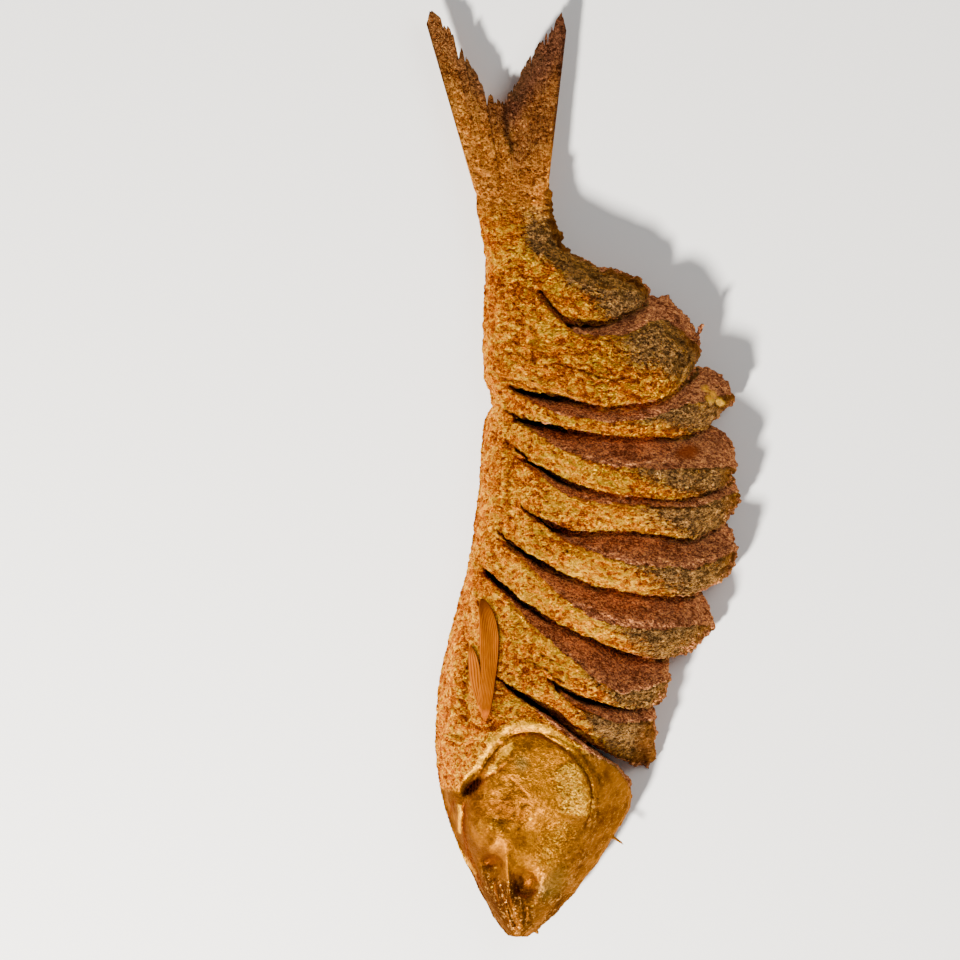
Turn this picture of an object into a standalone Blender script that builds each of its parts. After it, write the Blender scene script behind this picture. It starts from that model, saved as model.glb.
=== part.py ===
"""A whole salted and dried hilsa, fried, lying on its side with its right flank up.

The fish is one solid: head, belly strip and tail stalk are one trunk, and nine thick slices, cut from the
back down to the belly strip, have fanned out and lean towards the head like a row of fallen dominoes.
Lengths are in millimetres until a mesh is made. X runs from the belly to the back, Y from the snout (-)
to the tail (+), and Z up from the table.
"""

import math
from collections import namedtuple

import bmesh
import bpy
import numpy as np

MM = 0.001

# The fish from end to end, in outline
SNOUT_Y = -211.0
STALK_END_Y = 139.0

# The trunk: across at (y, x), its height at (y, z)
BELLY_LINE = (
    (139, -47), (126, -48.5), (98, -44.5), (60, -45.5), (42, -44.5), (34, -40.5), (26, -44.5), (-12, -48),
    (-40, -52), (-75, -61), (-100, -66), (-122, -67), (-142, -65), (-160, -60), (-183, -50), (-203, -40),
    (-211, -34),
)
TRUNK_BACK = (
    (139, -21), (126, -16), (106, -11), (98, -4), (91, -6), (85, -21), (60, -26), (41, -33), (12, -31),
    (-14, -30), (-26, -39), (-43, -46), (-68, -43), (-92, -40), (-101, -30), (-113, -12), (-127, 6),
    (-132, 14), (-147, 21), (-163, 14), (-189, -4), (-204, -18), (-211, -27),
)
BACK_LINE = (
    (139, -21), (126, -16), (106, -11), (95, 8), (84, 31), (60, 54), (34, 69), (5, 72), (-38, 72), (-68, 61),
    (-95, 44), (-120, 31), (-147, 21), (-163, 14), (-189, -4), (-204, -18), (-211, -27),
)
CREST_HEIGHT = (
    (139, 14.5), (126, 20), (98, 27), (75, 34), (40, 40), (0, 42), (-60, 43), (-115, 44), (-142, 43),
    (-165, 37), (-190, 27), (-205, 20), (-211, 16),
)
UNDERSIDE_HEIGHT = ((139, 12.5), (126, 9), (100, 6), (80, 2), (62, -1), (-180, -1), (-200, 2), (-211, 6))
KEEL_HEIGHT = ((139, 13.5), (126, 14.5), (90, 12), (40, 9), (-170, 9), (-211, 11))
CREST_AT = 0.5
BELLY_ROUNDING = (2.1, 0.62)
BACK_ROUNDING = 2.4
EDGE_FULLNESS = 0.26
UNDERSIDE_ROUNDING = (1.35, 1.3)
KEEL_BLUNT = 0.8
EDGE_BULGE = 1.2
FLANK_END_SINK = 3.0
FLANK_END_RUN = 7.0

# The slits from the tail to the head: root, then the overhanging edge above it and the rim below it at a
# quarter, a half, three quarters and the whole of the way to the tips, and the lean of the face below it
Slit = namedtuple("Slit", "root edge rim lean")
SLITS = (
    Slit((-20, 85), (68.5, 68, 71.5, 77), (64, 63.5, 71, 59), 30),
    Slit((-34, 40.5), (35, 29, 31.5, 46), (27, 24, 31, 37), 34),
    Slit((-33, 28), (20.5, 17, 16, 29), (10.5, 3, 3, 3), 42),
    Slit((-31.5, 12), (-4.5, -10.5, -11.5, -3.5), (-10, -13.5, -14.5, -7), 32),
    Slit((-29, -14.5), (-27, -26.5, -30.5, -18.5), (-31.5, -40, -42.5, -35), 42),
    Slit((-39.5, -25), (-45, -54, -57, -45), (-51, -67, -70, -68), 45),
    Slit((-46, -43), (-64, -76.5, -85, -77.5), (-66.5, -85.5, -99, -93), 46),
    Slit((-17, -92), (-100.5, -104.5, -107, -102.5), (-104, -109.5, -113, -111), 34),
    Slit((-40.5, -92), (-103, -118, -128.5, -133), (-106, -121, -133, -142), 9),
)
TIPS = (30, 53, 68.5, 69.5, 71.5, 70, 58.5, 39, 33)
TIP_ROUNDS = (7, 9, 15, 8, 9, 9, 11, 5, 3.5)
TAIL_BACK = ((-24, 101), (-8, 101), (6, 94.5), (17, 92), (30, 86))
LEAN_RUN = 38.0
ROLL_LIMIT = 44.0
WIDEST_ROLL = 14.0
LEAST_GAP = 1.7
FOOT_GAP_SHARE = 0.4
FOOT_LIFT = 0.3
TIP_LEFT = 0.2
SLICE_START = 8.0
SLICE_IN_BELLY = 4.5
ROOT_SINK = 2.0
CRAG = 0.55
AWAY_RUN = 45.0
SKIN_CROWN = 1.3
FACE_HOLLOW = 1.0
FOOT_BULGE = 0.3
CORNER_CUT = 0.09
SLICE_FLOOR = -0.6

# The head: the gill cover is a round plate, domed and standing proud behind; then sunk and raised spots
GILL_COVER = (-25.5, -147.0)
GILL_COVER_RADIUS = 28.5
GILL_COVER_LIP = 2.4
Spot = namedtuple("Spot", "place across along turn height")
HEAD_SPOTS = (
    Spot((-27, -187), 6.0, 7.0, 0, -4.0),
    Spot((-42, -177), 4.2, 6.5, 10, -2.2),
    Spot((-34.5, -181), 2.2, 12.0, 8, 1.6),
    Spot((-42, -166), 11.0, 9.0, 0, 1.8),
    Spot((-27, -161), 16.0, 4.0, -8, -1.6),
    Spot((-2, -170), 10.0, 18.0, -34, 1.2),
    Spot((-51.5, -141), 6.5, 2.8, 50, -7.5),
    Spot((-41, -126), 1.8, 7.5, -40, -2.2),
    Spot((-58, -160), 1.8, 13.0, 12, -2.4),
    Spot((-52, -128), 3.0, 15.0, -34, 1.4),
    Spot((-55.5, -119), 5.5, 3.5, 20, -3.2),
    Spot((-60, -100), 4.0, 18.0, -8, 1.2),
)

# The tail fin: rays fan out from inside the stalk to a forked rear edge, (share across, x, y)
FIN_REAR_EDGE = (
    (0, -72, 206), (0.06, -70.5, 213), (0.12, -64, 208), (0.2, -56.5, 197), (0.3, -50.5, 186),
    (0.4, -45, 177), (0.5, -38, 170.5), (0.6, -32, 178), (0.7, -27, 188), (0.8, -21, 197), (0.9, -14, 206),
    (0.95, -10, 212), (1, -8, 203),
)
FIN_BASE_Y = 121.0
FIN_BASE_LEFT = -46.5
FIN_BASE_RIGHT = -17.5
FIN_SPREAD = 1.1
FIN_HEIGHT_BASE = 14.0
FIN_HEIGHT_TIP = 11.5
FIN_THICK_BASE = 5.0
FIN_THICK_TIP = 1.3
FIN_PLEATS = 6
FIN_PLEAT_DEPTH = 0.8
FIN_RAG = 3.2

# The breast fin, folded back along the belly
BREAST_FIN_BASE = (-46.5, -112.0)
BREAST_FIN_TIP = (-48.0, -60.0)
BREAST_FIN_WIDTH = 11.5

# Spines: foot, tip and radius
SPINES = (
    ((6, -160, 15), (18.5, -169, 14), 1.5),
    ((-25, -204, 10), (-19.5, -211.5, 10), 1.0),
    ((-25, -201, 12), (-20, -208, 13), 1.0),
    ((47, 50, 14), (54, 69, 17), 2.2),
)

# A box under the table, larger than the fish: half its length along X and Y, and its depth
TABLE_CUTTER = (200, 300, 30)

SKIN_COLOUR = (0.45, 0.2, 0.035, 1)
SKIN_ROUGHNESS = 0.45
SHARP_EDGE_DEGREES = 40

TRUNK_STEPS = 66
TRUNK_ACROSS = 21
SLICE_STEPS = 13
SIDE_POINTS = 4
FIN_ACROSS = 22
FIN_ALONG = 9
SEED = 7


def through(*points):
    """A smooth function through the given (input, output) points, without overshoot, level past both ends."""
    inputs, outputs = np.array(sorted(points), float).T
    chords = np.diff(outputs) / np.diff(inputs)
    before, after = chords[:-1], chords[1:]
    same_way = before * after > 0
    sums = np.where(same_way, before + after, 1.0)
    inner = np.where(same_way, 2 * before * after / sums, 0.0)
    slopes = np.concatenate([chords[:1], inner, chords[-1:]])

    def at(value):
        value = np.clip(value, inputs[0], inputs[-1])
        i = np.clip(np.searchsorted(inputs, value) - 1, 0, len(inputs) - 2)
        width = inputs[i + 1] - inputs[i]
        t = (value - inputs[i]) / width
        start, end = outputs[i], outputs[i + 1]
        rise = t * t * (3 - 2 * t)
        leave = t * (1 - t) ** 2 * slopes[i] * width
        arrive = t * t * (t - 1) * slopes[i + 1] * width
        return start + (end - start) * rise + leave + arrive

    return at


belly_line = through(*BELLY_LINE)
trunk_back = through(*TRUNK_BACK)
back_line = through(*BACK_LINE)
crest_height = through(*CREST_HEIGHT)
underside_height = through(*UNDERSIDE_HEIGHT)
keel_height = through(*KEEL_HEIGHT)
tail_back = through(*TAIL_BACK)


def smooth_step(value):
    value = np.clip(value, 0.0, 1.0)
    return value * value * (3 - 2 * value)


def fullness(x, y):
    """How thick the flank is at a place, from 0 at the belly's keel to 1 at the crest."""
    across = (x - belly_line(y)) / (back_line(y) - belly_line(y))
    across = np.clip(across, 0.0, 1.0)
    steep, blunt = BELLY_ROUNDING
    belly_side = (1 - np.clip((CREST_AT - across) / CREST_AT, 0, 1) ** steep) ** blunt
    to_edge = np.clip((across - CREST_AT) / (1 - CREST_AT), 0, 1) ** BACK_ROUNDING
    back_side = 1 - (1 - EDGE_FULLNESS) * to_edge
    return np.where(across < CREST_AT, belly_side, back_side)


def head_relief(x, y):
    """Height that the gill cover and the head's hollows and ridges add to the upper side."""
    dx, dy = x - GILL_COVER[0], y - GILL_COVER[1]
    inside = smooth_step((GILL_COVER_RADIUS - np.hypot(dx, dy)) / 2.5 + 0.5)
    behind = smooth_step((dy + 14) / 16)
    relief = GILL_COVER_LIP * inside * behind
    for spot in HEAD_SPOTS:
        turn = math.radians(spot.turn)
        along_x, along_y = x - spot.place[0], y - spot.place[1]
        u = (along_x * math.cos(turn) + along_y * math.sin(turn)) / spot.across
        v = (along_y * math.cos(turn) - along_x * math.sin(turn)) / spot.along
        relief = relief + spot.height * np.exp(-(u * u + v * v) ** 1.4)
    return relief


def top_height(x, y):
    keel = keel_height(y)
    return keel + (crest_height(y) - keel) * fullness(x, y) + head_relief(x, y) * (fullness(x, y) > 0.2)


def bottom_height(x, y):
    keel, low = keel_height(y), underside_height(y)
    reach, power = UNDERSIDE_ROUNDING
    return keel + (low - keel) * np.minimum(1.0, fullness(x, y) * reach) ** power


def mesh_object(name, points, faces):
    mesh = bpy.data.meshes.new(name)
    mesh.from_pydata([tuple(float(c) * MM for c in p) for p in points], [], faces)
    work = bmesh.new()
    work.from_mesh(mesh)
    bmesh.ops.recalc_face_normals(work, faces=work.faces)
    work.to_mesh(mesh)
    work.free()
    made = bpy.data.objects.new(name, mesh)
    bpy.context.scene.collection.objects.link(made)
    return made


def loft(name, rings):
    """A closed solid over rings of equally many points, with a flat cap on each end."""
    size = len(rings[0])
    points = [p for ring in rings for p in ring]
    faces = []
    for r in range(len(rings) - 1):
        for i in range(size):
            j = (i + 1) % size
            faces.append((r * size + i, r * size + j, (r + 1) * size + j, (r + 1) * size + i))
    faces.append(tuple(range(size)))
    faces.append(tuple(range((len(rings) - 1) * size, len(rings) * size)))
    return mesh_object(name, points, faces)


def flank_end_sink(x, y, right):
    """The flank dips where the slices grow out of it, so that they rise from inside it."""
    among_slices = smooth_step((90 - y) / 6) * smooth_step((y + 92) / 6)
    return FLANK_END_SINK * smooth_step(1 - (right - x) / FLANK_END_RUN) * among_slices


def trunk_ring(y):
    """Across the trunk at one place along it: over the top from belly to back, and home underneath."""
    left, right = belly_line(y), trunk_back(y)
    share = 0.5 - 0.5 * np.cos(np.linspace(0, math.pi, TRUNK_ACROSS))
    xs = left + (right - left) * (0.55 * share + 0.45 * np.linspace(0, 1, TRUNK_ACROSS))
    top, bottom = top_height(xs, y), bottom_height(xs, y)
    top -= flank_end_sink(xs, y, right)
    top[0] += KEEL_BLUNT
    bottom[0] -= KEEL_BLUNT
    ring = [(x, y, z) for x, z in zip(xs, top)]
    ring.append((right + EDGE_BULGE, y, (top[-1] + bottom[-1]) / 2))
    ring += [(x, y, z) for x, z in zip(xs[::-2], bottom[::-2])]
    ring.append((left - EDGE_BULGE, y, (top[0] + bottom[0]) / 2))
    return ring


def trunk():
    """The head, the belly strip that the slices hang from, and the tail stalk."""
    share = np.linspace(0, 1, TRUNK_STEPS)
    ys = SNOUT_Y + (STALK_END_Y - SNOUT_Y) * (0.62 * share**1.5 + 0.38 * share)
    return loft("trunk", [trunk_ring(y) for y in ys])


def slit_curve(root, values, tip):
    shares = (0.25, 0.5, 0.75, 1.0)
    return through(root, *((root[0] + (tip - root[0]) * s, v) for s, v in zip(shares, values)))


def slice_curves(k):
    """The rim on the tail side of slice k, its edge on the head side, and the next slice's rim."""
    last = k == len(SLITS) - 1
    rim = tail_back if k == 0 else slit_curve(SLITS[k - 1].root, SLITS[k - 1].rim, TIPS[k])
    edge = slit_curve(SLITS[k].root, SLITS[k].edge, TIPS[k])
    next_rim = slit_curve(SLITS[k].root, SLITS[k].rim, TIPS[k] if last else TIPS[k + 1])
    return rim, edge, next_rim


def lean_of(slit, x):
    return math.radians(slit.lean) * float(smooth_step((x - slit.root[0]) / LEAN_RUN))


def closing(slit, x):
    """Before a slit's root its two sides overlap by this much, so that the slices beside it are one."""
    return 2.5 * float(smooth_step((slit.root[0] - x) / 4.0))


def slice_corners(k, x):
    """(y, z) of a slice's four corners at x: rim, overhanging edge, and the feet below each."""
    rim, edge, next_rim = slice_curves(k)
    own_lean = lean_of(SLITS[k - 1], x) if k else 0.0
    face_lean = lean_of(SLITS[k], x)
    rim_y = float(rim(x)) + (closing(SLITS[k - 1], x) if k else 0.0)
    edge_y = float(edge(x)) - closing(SLITS[k], x)
    next_y = float(next_rim(x))
    rim_z, next_z = float(top_height(x, rim_y)), float(top_height(x, next_y))
    strip = max(edge_y - next_y, LEAST_GAP)
    roll = math.radians(ROLL_LIMIT) * float(smooth_step((x - SLITS[k].root[0]) / LEAN_RUN))
    edge_z = float(top_height(x, edge_y)) - min(rim_y - edge_y, WIDEST_ROLL) * math.tan(roll)
    if face_lean > 0.02:
        edge_z = max(edge_z, next_z - (strip - LEAST_GAP) / math.tan(face_lean))
    gap = strip - (next_z - edge_z) * math.tan(face_lean)
    foot_gap = max(LEAST_GAP, gap * FOOT_GAP_SHARE)
    raised = float(bottom_height(x, (rim_y + edge_y) / 2)) / 2
    low = SLICE_FLOOR if k else max(SLICE_FLOOR, raised)
    head_foot = (next_y + (next_z - low) * math.tan(face_lean) + foot_gap - closing(SLITS[k], x), low)
    lift = low + FOOT_LIFT * rim_z * math.sin(own_lean)
    tail_foot = (rim_y + (rim_z - lift) * math.tan(own_lean), lift)
    return (rim_y, rim_z), (edge_y, edge_z), head_foot, tail_foot


def skin_side(rim, edge, x, shares):
    """Points over a slice's skin from rim to edge: the flank's own curve, tipped down towards the edge."""
    ys = rim[0] + (edge[0] - rim[0]) * shares
    flank = top_height(np.full_like(ys, x), ys)
    tipped = (float(top_height(x, edge[0])) - edge[1]) * shares**1.4
    return np.column_stack([ys, flank - tipped + SKIN_CROWN * 4 * shares * (1 - shares)])


def cut_side(start, end, shares, bulge):
    """Points along a slice's cut face or foot, bowed out by `bulge` in the middle."""
    start, end = np.array(start), np.array(end)
    side = end - start
    outward = np.array((-side[1], side[0])) / max(np.linalg.norm(side), 1e-6)
    bow = bulge * 4 * shares * (1 - shares)
    return start + side * shares[:, None] + outward * bow[:, None]


def slice_ring(k, x, away, drawn_in):
    """A slice's outline at x, drawn in point by point. The cut faces grow hollow away from the root."""
    hollow = -FACE_HOLLOW * away
    rim, edge, head_foot, tail_foot = slice_corners(k, x)
    shares = np.linspace(CORNER_CUT, 1 - CORNER_CUT, SIDE_POINTS)
    ring = np.vstack([
        skin_side(rim, edge, x, shares),
        cut_side(edge, head_foot, shares, hollow),
        cut_side(head_foot, tail_foot, shares, FOOT_BULGE),
        cut_side(tail_foot, rim, shares, hollow),
    ])
    middle = ring.mean(axis=0)
    past = max(0.0, (x - (TIPS[k] - TIP_ROUNDS[k])) / TIP_ROUNDS[k])
    keep = max(TIP_LEFT, math.sqrt(max(0.0, 1 - past * past)))
    reach = np.linalg.norm(ring - middle, axis=1, keepdims=True)
    ring = middle + (ring - middle) * keep * np.maximum(0.3, 1 - drawn_in[:, None] / np.maximum(reach, 1e-6))
    return [(x, float(y), float(z)) for y, z in ring]


def fish_slice(k):
    slits = SLITS[max(k - 1, 0) : k + 1]
    middle_y = float(np.mean([slit.root[1] for slit in slits]))
    start = float(min(trunk_back(middle_y), min(slit.root[0] for slit in slits))) - SLICE_START
    start = max(start, max(float(belly_line(slit.root[1])) for slit in slits) + SLICE_IN_BELLY)
    share = np.linspace(0, 1, SLICE_STEPS)
    xs = start + (TIPS[k] - start) * np.sin(share * math.pi / 2) ** 0.9
    rng = np.random.default_rng(SEED + k)
    rings = []
    for x in xs:
        sunk = ROOT_SINK * (1 - smooth_step((x - start) / SLICE_START))
        away = float(smooth_step((x - start - SLICE_START) / AWAY_RUN))
        crags = CRAG * away * rng.uniform(-1, 1, 4 * SIDE_POINTS)
        rings.append(slice_ring(k, x, away, sunk + crags))
    return loft(f"slice_{k + 1}", rings)


def fin_point(share, along, rag):
    """A place on the tail fin, `share` of the way across and `along` from the base to the rear edge."""
    shares, xs, ys = zip(*FIN_REAR_EDGE)
    base_x = FIN_BASE_LEFT + (FIN_BASE_RIGHT - FIN_BASE_LEFT) * share
    end_x, end_y = np.interp(share, shares, xs), np.interp(share, shares, ys) - rag
    return base_x + (end_x - base_x) * along**FIN_SPREAD, FIN_BASE_Y + (end_y - FIN_BASE_Y) * along


def tail_fin():
    """A thin pleated fan of rays between the stalk and the ragged rear edge."""
    rng = np.random.default_rng(SEED)
    rags = rng.uniform(0, 1, FIN_ACROSS) ** 2 * FIN_RAG
    rags[[0, -1]] = 0
    upper, lower = [], []
    for along in np.linspace(0, 1, FIN_ALONG):
        for share, rag in zip(np.linspace(0, 1, FIN_ACROSS), rags):
            x, y = fin_point(share, along, rag)
            pleat = FIN_PLEAT_DEPTH * math.sin(share * FIN_PLEATS * 2 * math.pi) * min(1, along * 2)
            middle = FIN_HEIGHT_BASE + (FIN_HEIGHT_TIP - FIN_HEIGHT_BASE) * along + pleat
            rim = 0.35 + 0.65 * min(1.0, 8 * share * (1 - share))
            thick = FIN_THICK_BASE + (FIN_THICK_TIP - FIN_THICK_BASE) * min(1, along * 1.6)
            half = 0.5 * max(FIN_THICK_TIP * 0.8, rim * thick)
            upper.append((x, y, middle + half))
            lower.append((x, y, middle - half))
    return sheet_solid("tail_fin", upper, lower, FIN_ALONG, FIN_ACROSS)


def sheet_solid(name, upper, lower, rows, columns):
    """A closed thin solid between two grids of points."""
    count = rows * columns
    faces = []
    for r in range(rows - 1):
        for c in range(columns - 1):
            a, b = r * columns + c, r * columns + c + 1
            d, e = a + columns, b + columns
            faces.append((a, b, e, d))
            faces.append((count + a, count + d, count + e, count + b))
    border = [c for c in range(columns)]
    border += [r * columns + columns - 1 for r in range(1, rows)]
    border += [(rows - 1) * columns + c for c in range(columns - 2, -1, -1)]
    border += [r * columns for r in range(rows - 2, 0, -1)]
    for a, b in zip(border, border[1:] + border[:1]):
        faces.append((a, count + a, count + b, b))
    return mesh_object(name, upper + lower, faces)


def breast_fin():
    """The fin behind the gill cover: a narrow fan laid on the belly, its underside sunk into the flank."""
    rows, columns = 7, 6
    upper, lower = [], []
    for row in range(rows):
        along = row / (rows - 1)
        width = BREAST_FIN_WIDTH * math.sin(math.pi * min(0.94, 0.12 + 0.75 * along)) ** 0.8
        for column in range(columns):
            side = column / (columns - 1) - 0.5
            x = BREAST_FIN_BASE[0] + (BREAST_FIN_TIP[0] - BREAST_FIN_BASE[0]) * along + side * width
            y = BREAST_FIN_BASE[1] + (BREAST_FIN_TIP[1] - BREAST_FIN_BASE[1]) * (along - 0.35 * side * along)
            surface = float(top_height(x, y))
            upper.append((x, y, surface + 1.5 - 1.1 * abs(side) * 2))
            lower.append((x, y, surface - 2.5))
    return sheet_solid("breast_fin", upper, lower, rows, columns)


def spike(name, foot, tip, radius):
    """A small tapering spine from a foot inside the fish to its tip."""
    foot, tip = np.array(foot, float), np.array(tip, float)
    axis = (tip - foot) / np.linalg.norm(tip - foot)
    side = np.cross(axis, (0, 0, 1))
    side /= np.linalg.norm(side)
    other = np.cross(axis, side)
    rings = []
    for share, size in ((0, 1.0), (0.55, 0.75), (1, 0.25)):
        centre = foot + (tip - foot) * share
        angles = np.linspace(0, 2 * math.pi, 6, endpoint=False)
        rings.append([centre + radius * size * (side * math.cos(a) + other * math.sin(a)) for a in angles])
    return loft(name, rings)


def spines():
    """A scale-like spine on the nape, two bristles at the mouth and the stub of the back fin."""
    return [spike(f"spine_{i + 1}", *spine) for i, spine in enumerate(SPINES)]


def join(pieces, name):
    """One Boolean union of all pieces, as one object."""
    holder = bpy.data.collections.new("pieces")
    bpy.context.scene.collection.children.link(holder)
    first = pieces[0]
    for piece in pieces[1:]:
        bpy.context.scene.collection.objects.unlink(piece)
        holder.objects.link(piece)
    union = first.modifiers.new("union", "BOOLEAN")
    union.operation = "UNION"
    union.operand_type = "COLLECTION"
    union.collection = holder
    union.solver = "MANIFOLD"
    apply_modifiers(first)
    for piece in list(holder.objects):
        bpy.data.objects.remove(piece)
    bpy.data.collections.remove(holder)
    first.name = name
    first.data.name = name
    return first


def apply_modifiers(obj):
    graph = bpy.context.evaluated_depsgraph_get()
    mesh = bpy.data.meshes.new_from_object(obj.evaluated_get(graph))
    obj.modifiers.clear()
    obj.data = mesh


def keep_largest_body(fish):
    """Drops loose scraps and fills sealed hollows: only the largest closed surface stays."""
    work = bmesh.new()
    work.from_mesh(fish.data)
    left = set(work.faces)
    bodies = []
    while left:
        front = [left.pop()]
        body = set(front)
        while front:
            face = front.pop()
            new = {other for edge in face.edges for other in edge.link_faces} & left
            left -= new
            body |= new
            front += new
        bodies.append(body)
    largest = max(bodies, key=len)
    scraps = [face for face in work.faces if face not in largest]
    bmesh.ops.delete(work, geom=scraps, context="FACES")
    work.to_mesh(fish.data)
    work.free()


def flatten_underside(fish):
    """Cuts away all that is below the table, which leaves the flat patches that the fish rests on."""
    x, y, deep = TABLE_CUTTER
    corners = ((-x, -y), (x, -y), (x, y), (-x, y))
    box = mesh_object(
        "below_table",
        [(*corner, z) for z in (-deep, 0) for corner in corners],
        [(0, 3, 2, 1), (4, 5, 6, 7), (0, 1, 5, 4), (1, 2, 6, 5), (2, 3, 7, 6), (3, 0, 4, 7)],
    )
    cut = fish.modifiers.new("table", "BOOLEAN")
    cut.operation = "DIFFERENCE"
    cut.object = box
    cut.solver = "MANIFOLD"
    apply_modifiers(fish)
    bpy.data.objects.remove(box)


def centre(fish):
    """Puts the origin on the table under the middle of the fish."""
    points = np.array([v.co for v in fish.data.vertices])
    middle = (points.min(axis=0) + points.max(axis=0)) / 2
    for vertex in fish.data.vertices:
        vertex.co.x -= middle[0]
        vertex.co.y -= middle[1]


def fried_skin():
    material = bpy.data.materials.new("fried_skin")
    material.use_nodes = True
    shader = material.node_tree.nodes["Principled BSDF"]
    shader.inputs["Base Color"].default_value = SKIN_COLOUR
    shader.inputs["Roughness"].default_value = SKIN_ROUGHNESS
    shader.inputs["Metallic"].default_value = 0.0
    return material


def main():
    for old in list(bpy.data.objects):
        bpy.data.objects.remove(old)
    pieces = [trunk()]
    pieces += [fish_slice(k) for k in range(len(SLITS))]
    pieces += [tail_fin(), breast_fin(), *spines()]
    fish = join(pieces, "fish")
    flatten_underside(fish)
    keep_largest_body(fish)
    centre(fish)
    fish.data.materials.clear()
    fish.data.materials.append(fried_skin())
    fish.data.shade_smooth()
    fish.data.set_sharp_from_angle(angle=math.radians(SHARP_EDGE_DEGREES))


main()
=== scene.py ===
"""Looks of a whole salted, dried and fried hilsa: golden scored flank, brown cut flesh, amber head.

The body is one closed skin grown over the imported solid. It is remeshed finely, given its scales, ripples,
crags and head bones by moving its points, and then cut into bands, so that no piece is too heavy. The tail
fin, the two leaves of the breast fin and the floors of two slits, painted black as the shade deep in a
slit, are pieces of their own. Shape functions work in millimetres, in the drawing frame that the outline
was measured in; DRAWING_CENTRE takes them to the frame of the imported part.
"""

import math
from collections import namedtuple

import bmesh
import bpy
import numpy as np
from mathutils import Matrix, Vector


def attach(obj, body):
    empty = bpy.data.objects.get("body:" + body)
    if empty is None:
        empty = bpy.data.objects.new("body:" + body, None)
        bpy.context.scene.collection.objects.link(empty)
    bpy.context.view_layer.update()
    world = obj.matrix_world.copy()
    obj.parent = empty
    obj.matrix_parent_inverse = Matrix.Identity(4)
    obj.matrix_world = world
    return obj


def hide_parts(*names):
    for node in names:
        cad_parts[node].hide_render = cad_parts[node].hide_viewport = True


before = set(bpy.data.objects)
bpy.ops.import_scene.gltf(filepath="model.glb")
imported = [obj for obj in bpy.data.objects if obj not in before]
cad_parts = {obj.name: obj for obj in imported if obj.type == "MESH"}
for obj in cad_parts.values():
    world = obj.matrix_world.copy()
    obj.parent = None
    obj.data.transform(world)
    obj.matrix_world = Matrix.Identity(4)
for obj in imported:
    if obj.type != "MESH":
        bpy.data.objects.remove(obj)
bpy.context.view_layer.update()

MM = 0.001

# The photo's scale, and the pixel at the drawing frame's origin
PHOTO_MM = 0.45
PHOTO_ORIGIN = (585.5, 475.0)
DRAWING_CENTRE = (-0.25, -0.11)

# The skin's mesh and the bands that it is cut into
VOXEL_MM = 0.65
SMOOTH_ROUNDS = 9
BAND_NAMES = ("head", "shoulder", "fore_middle", "hind_middle", "tail_end")
BAND_CUTS_Y = (-118.0, -58.0, 2.0, 52.0)
STALK_CUT_Y = 140.5

# The marks that the materials read
MARKS = (
    "cut", "shade", "rim", "lip", "back", "head", "stalk", "crust", "under", "gold", "red", "grey", "hole_shade_and_speck",
    "stain_and_crease_shade", "highlight_and_pale_bits", "dim", "deep", "snout", "near_fin", "band_highlight", "facing",
)

# Sizes of the texture's flakes and of the relief
FLAKE_MM = 2.5
CHIP_MM = 1.0
SPECK_MM = 0.6
FLAKE_WAVER = 0.8
SCALE_MM = 2.8
SMALL_SCALE_MM = 1.3
LUMP_MM = 3.6
RIPPLE_MM = 3.2
SWELL_MM = 9.0
GRAIN_MM = 1.25
CRAG_MM = 4.2
FIBRE_MM = 1.7
SPIKE_MM = 2.4
CRUST_MM = 8.0
SLIT_DEPTH_MM = 3.4
FIN_SINK_MM = 1.1
SCALE_STRETCH = np.array((0.72, 1.0, 0.85))
CELL_LEAN = np.array((0.15, 0.45, 0.0))


# Places in the photo

def from_pixel(px, py):
    """A photo pixel as (x, y) in millimetres in the drawing frame."""
    return (px - PHOTO_ORIGIN[0]) * PHOTO_MM, (PHOTO_ORIGIN[1] - py) * PHOTO_MM


def from_photo(points):
    return [from_pixel(px, py) for px, py in points]


def smooth_step(value):
    value = np.clip(value, 0.0, 1.0)
    return value * value * (3 - 2 * value)


def step_up(value, start, width):
    """0 up to the start, 1 from a width beyond it."""
    return smooth_step((value - start) / width)


def through(*points):
    """A smooth function through (input, output) points, without overshoot, level past both ends."""
    inputs, outputs = np.array(sorted(points), float).T
    chords = np.diff(outputs) / np.diff(inputs)
    before, after = chords[:-1], chords[1:]
    same_way = before * after > 0
    sums = np.where(same_way, before + after, 1.0)
    inner = np.where(same_way, 2 * before * after / sums, 0.0)
    slopes = np.concatenate([chords[:1], inner, chords[-1:]])

    def at(value):
        value = np.clip(value, inputs[0], inputs[-1])
        i = np.clip(np.searchsorted(inputs, value) - 1, 0, len(inputs) - 2)
        width = inputs[i + 1] - inputs[i]
        t = (value - inputs[i]) / width
        rise = t * t * (3 - 2 * t)
        leave = t * (1 - t) ** 2 * slopes[i] * width
        arrive = t * t * (t - 1) * slopes[i + 1] * width
        return outputs[i] + (outputs[i + 1] - outputs[i]) * rise + leave + arrive

    return at


# The fish's lines, as in the part's own source. Each slit has its root's place, and the y of its edge and of
# the next slice's rim at each quarter of the way to the tip.

Slit = namedtuple("Slit", "root edge rim")
SLITS = (
    Slit((-20, 85), (68.5, 68, 71.5, 77), (64, 63.5, 71, 59)),
    Slit((-34, 40.5), (35, 29, 31.5, 46), (27, 24, 31, 37)),
    Slit((-33, 28), (20.5, 17, 16, 29), (10.5, 3, 3, 3)),
    Slit((-31.5, 12), (-4.5, -10.5, -11.5, -3.5), (-10, -13.5, -14.5, -7)),
    Slit((-29, -14.5), (-27, -26.5, -30.5, -18.5), (-31.5, -40, -42.5, -35)),
    Slit((-39.5, -25), (-45, -54, -57, -45), (-51, -67, -70, -68)),
    Slit((-46, -43), (-64, -76.5, -85, -77.5), (-66.5, -85.5, -99, -93)),
    Slit((-17, -92), (-100.5, -104.5, -107, -102.5), (-104, -109.5, -113, -111)),
    Slit((-40.5, -92), (-103, -118, -128.5, -133), (-106, -121, -133, -142)),
)
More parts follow.
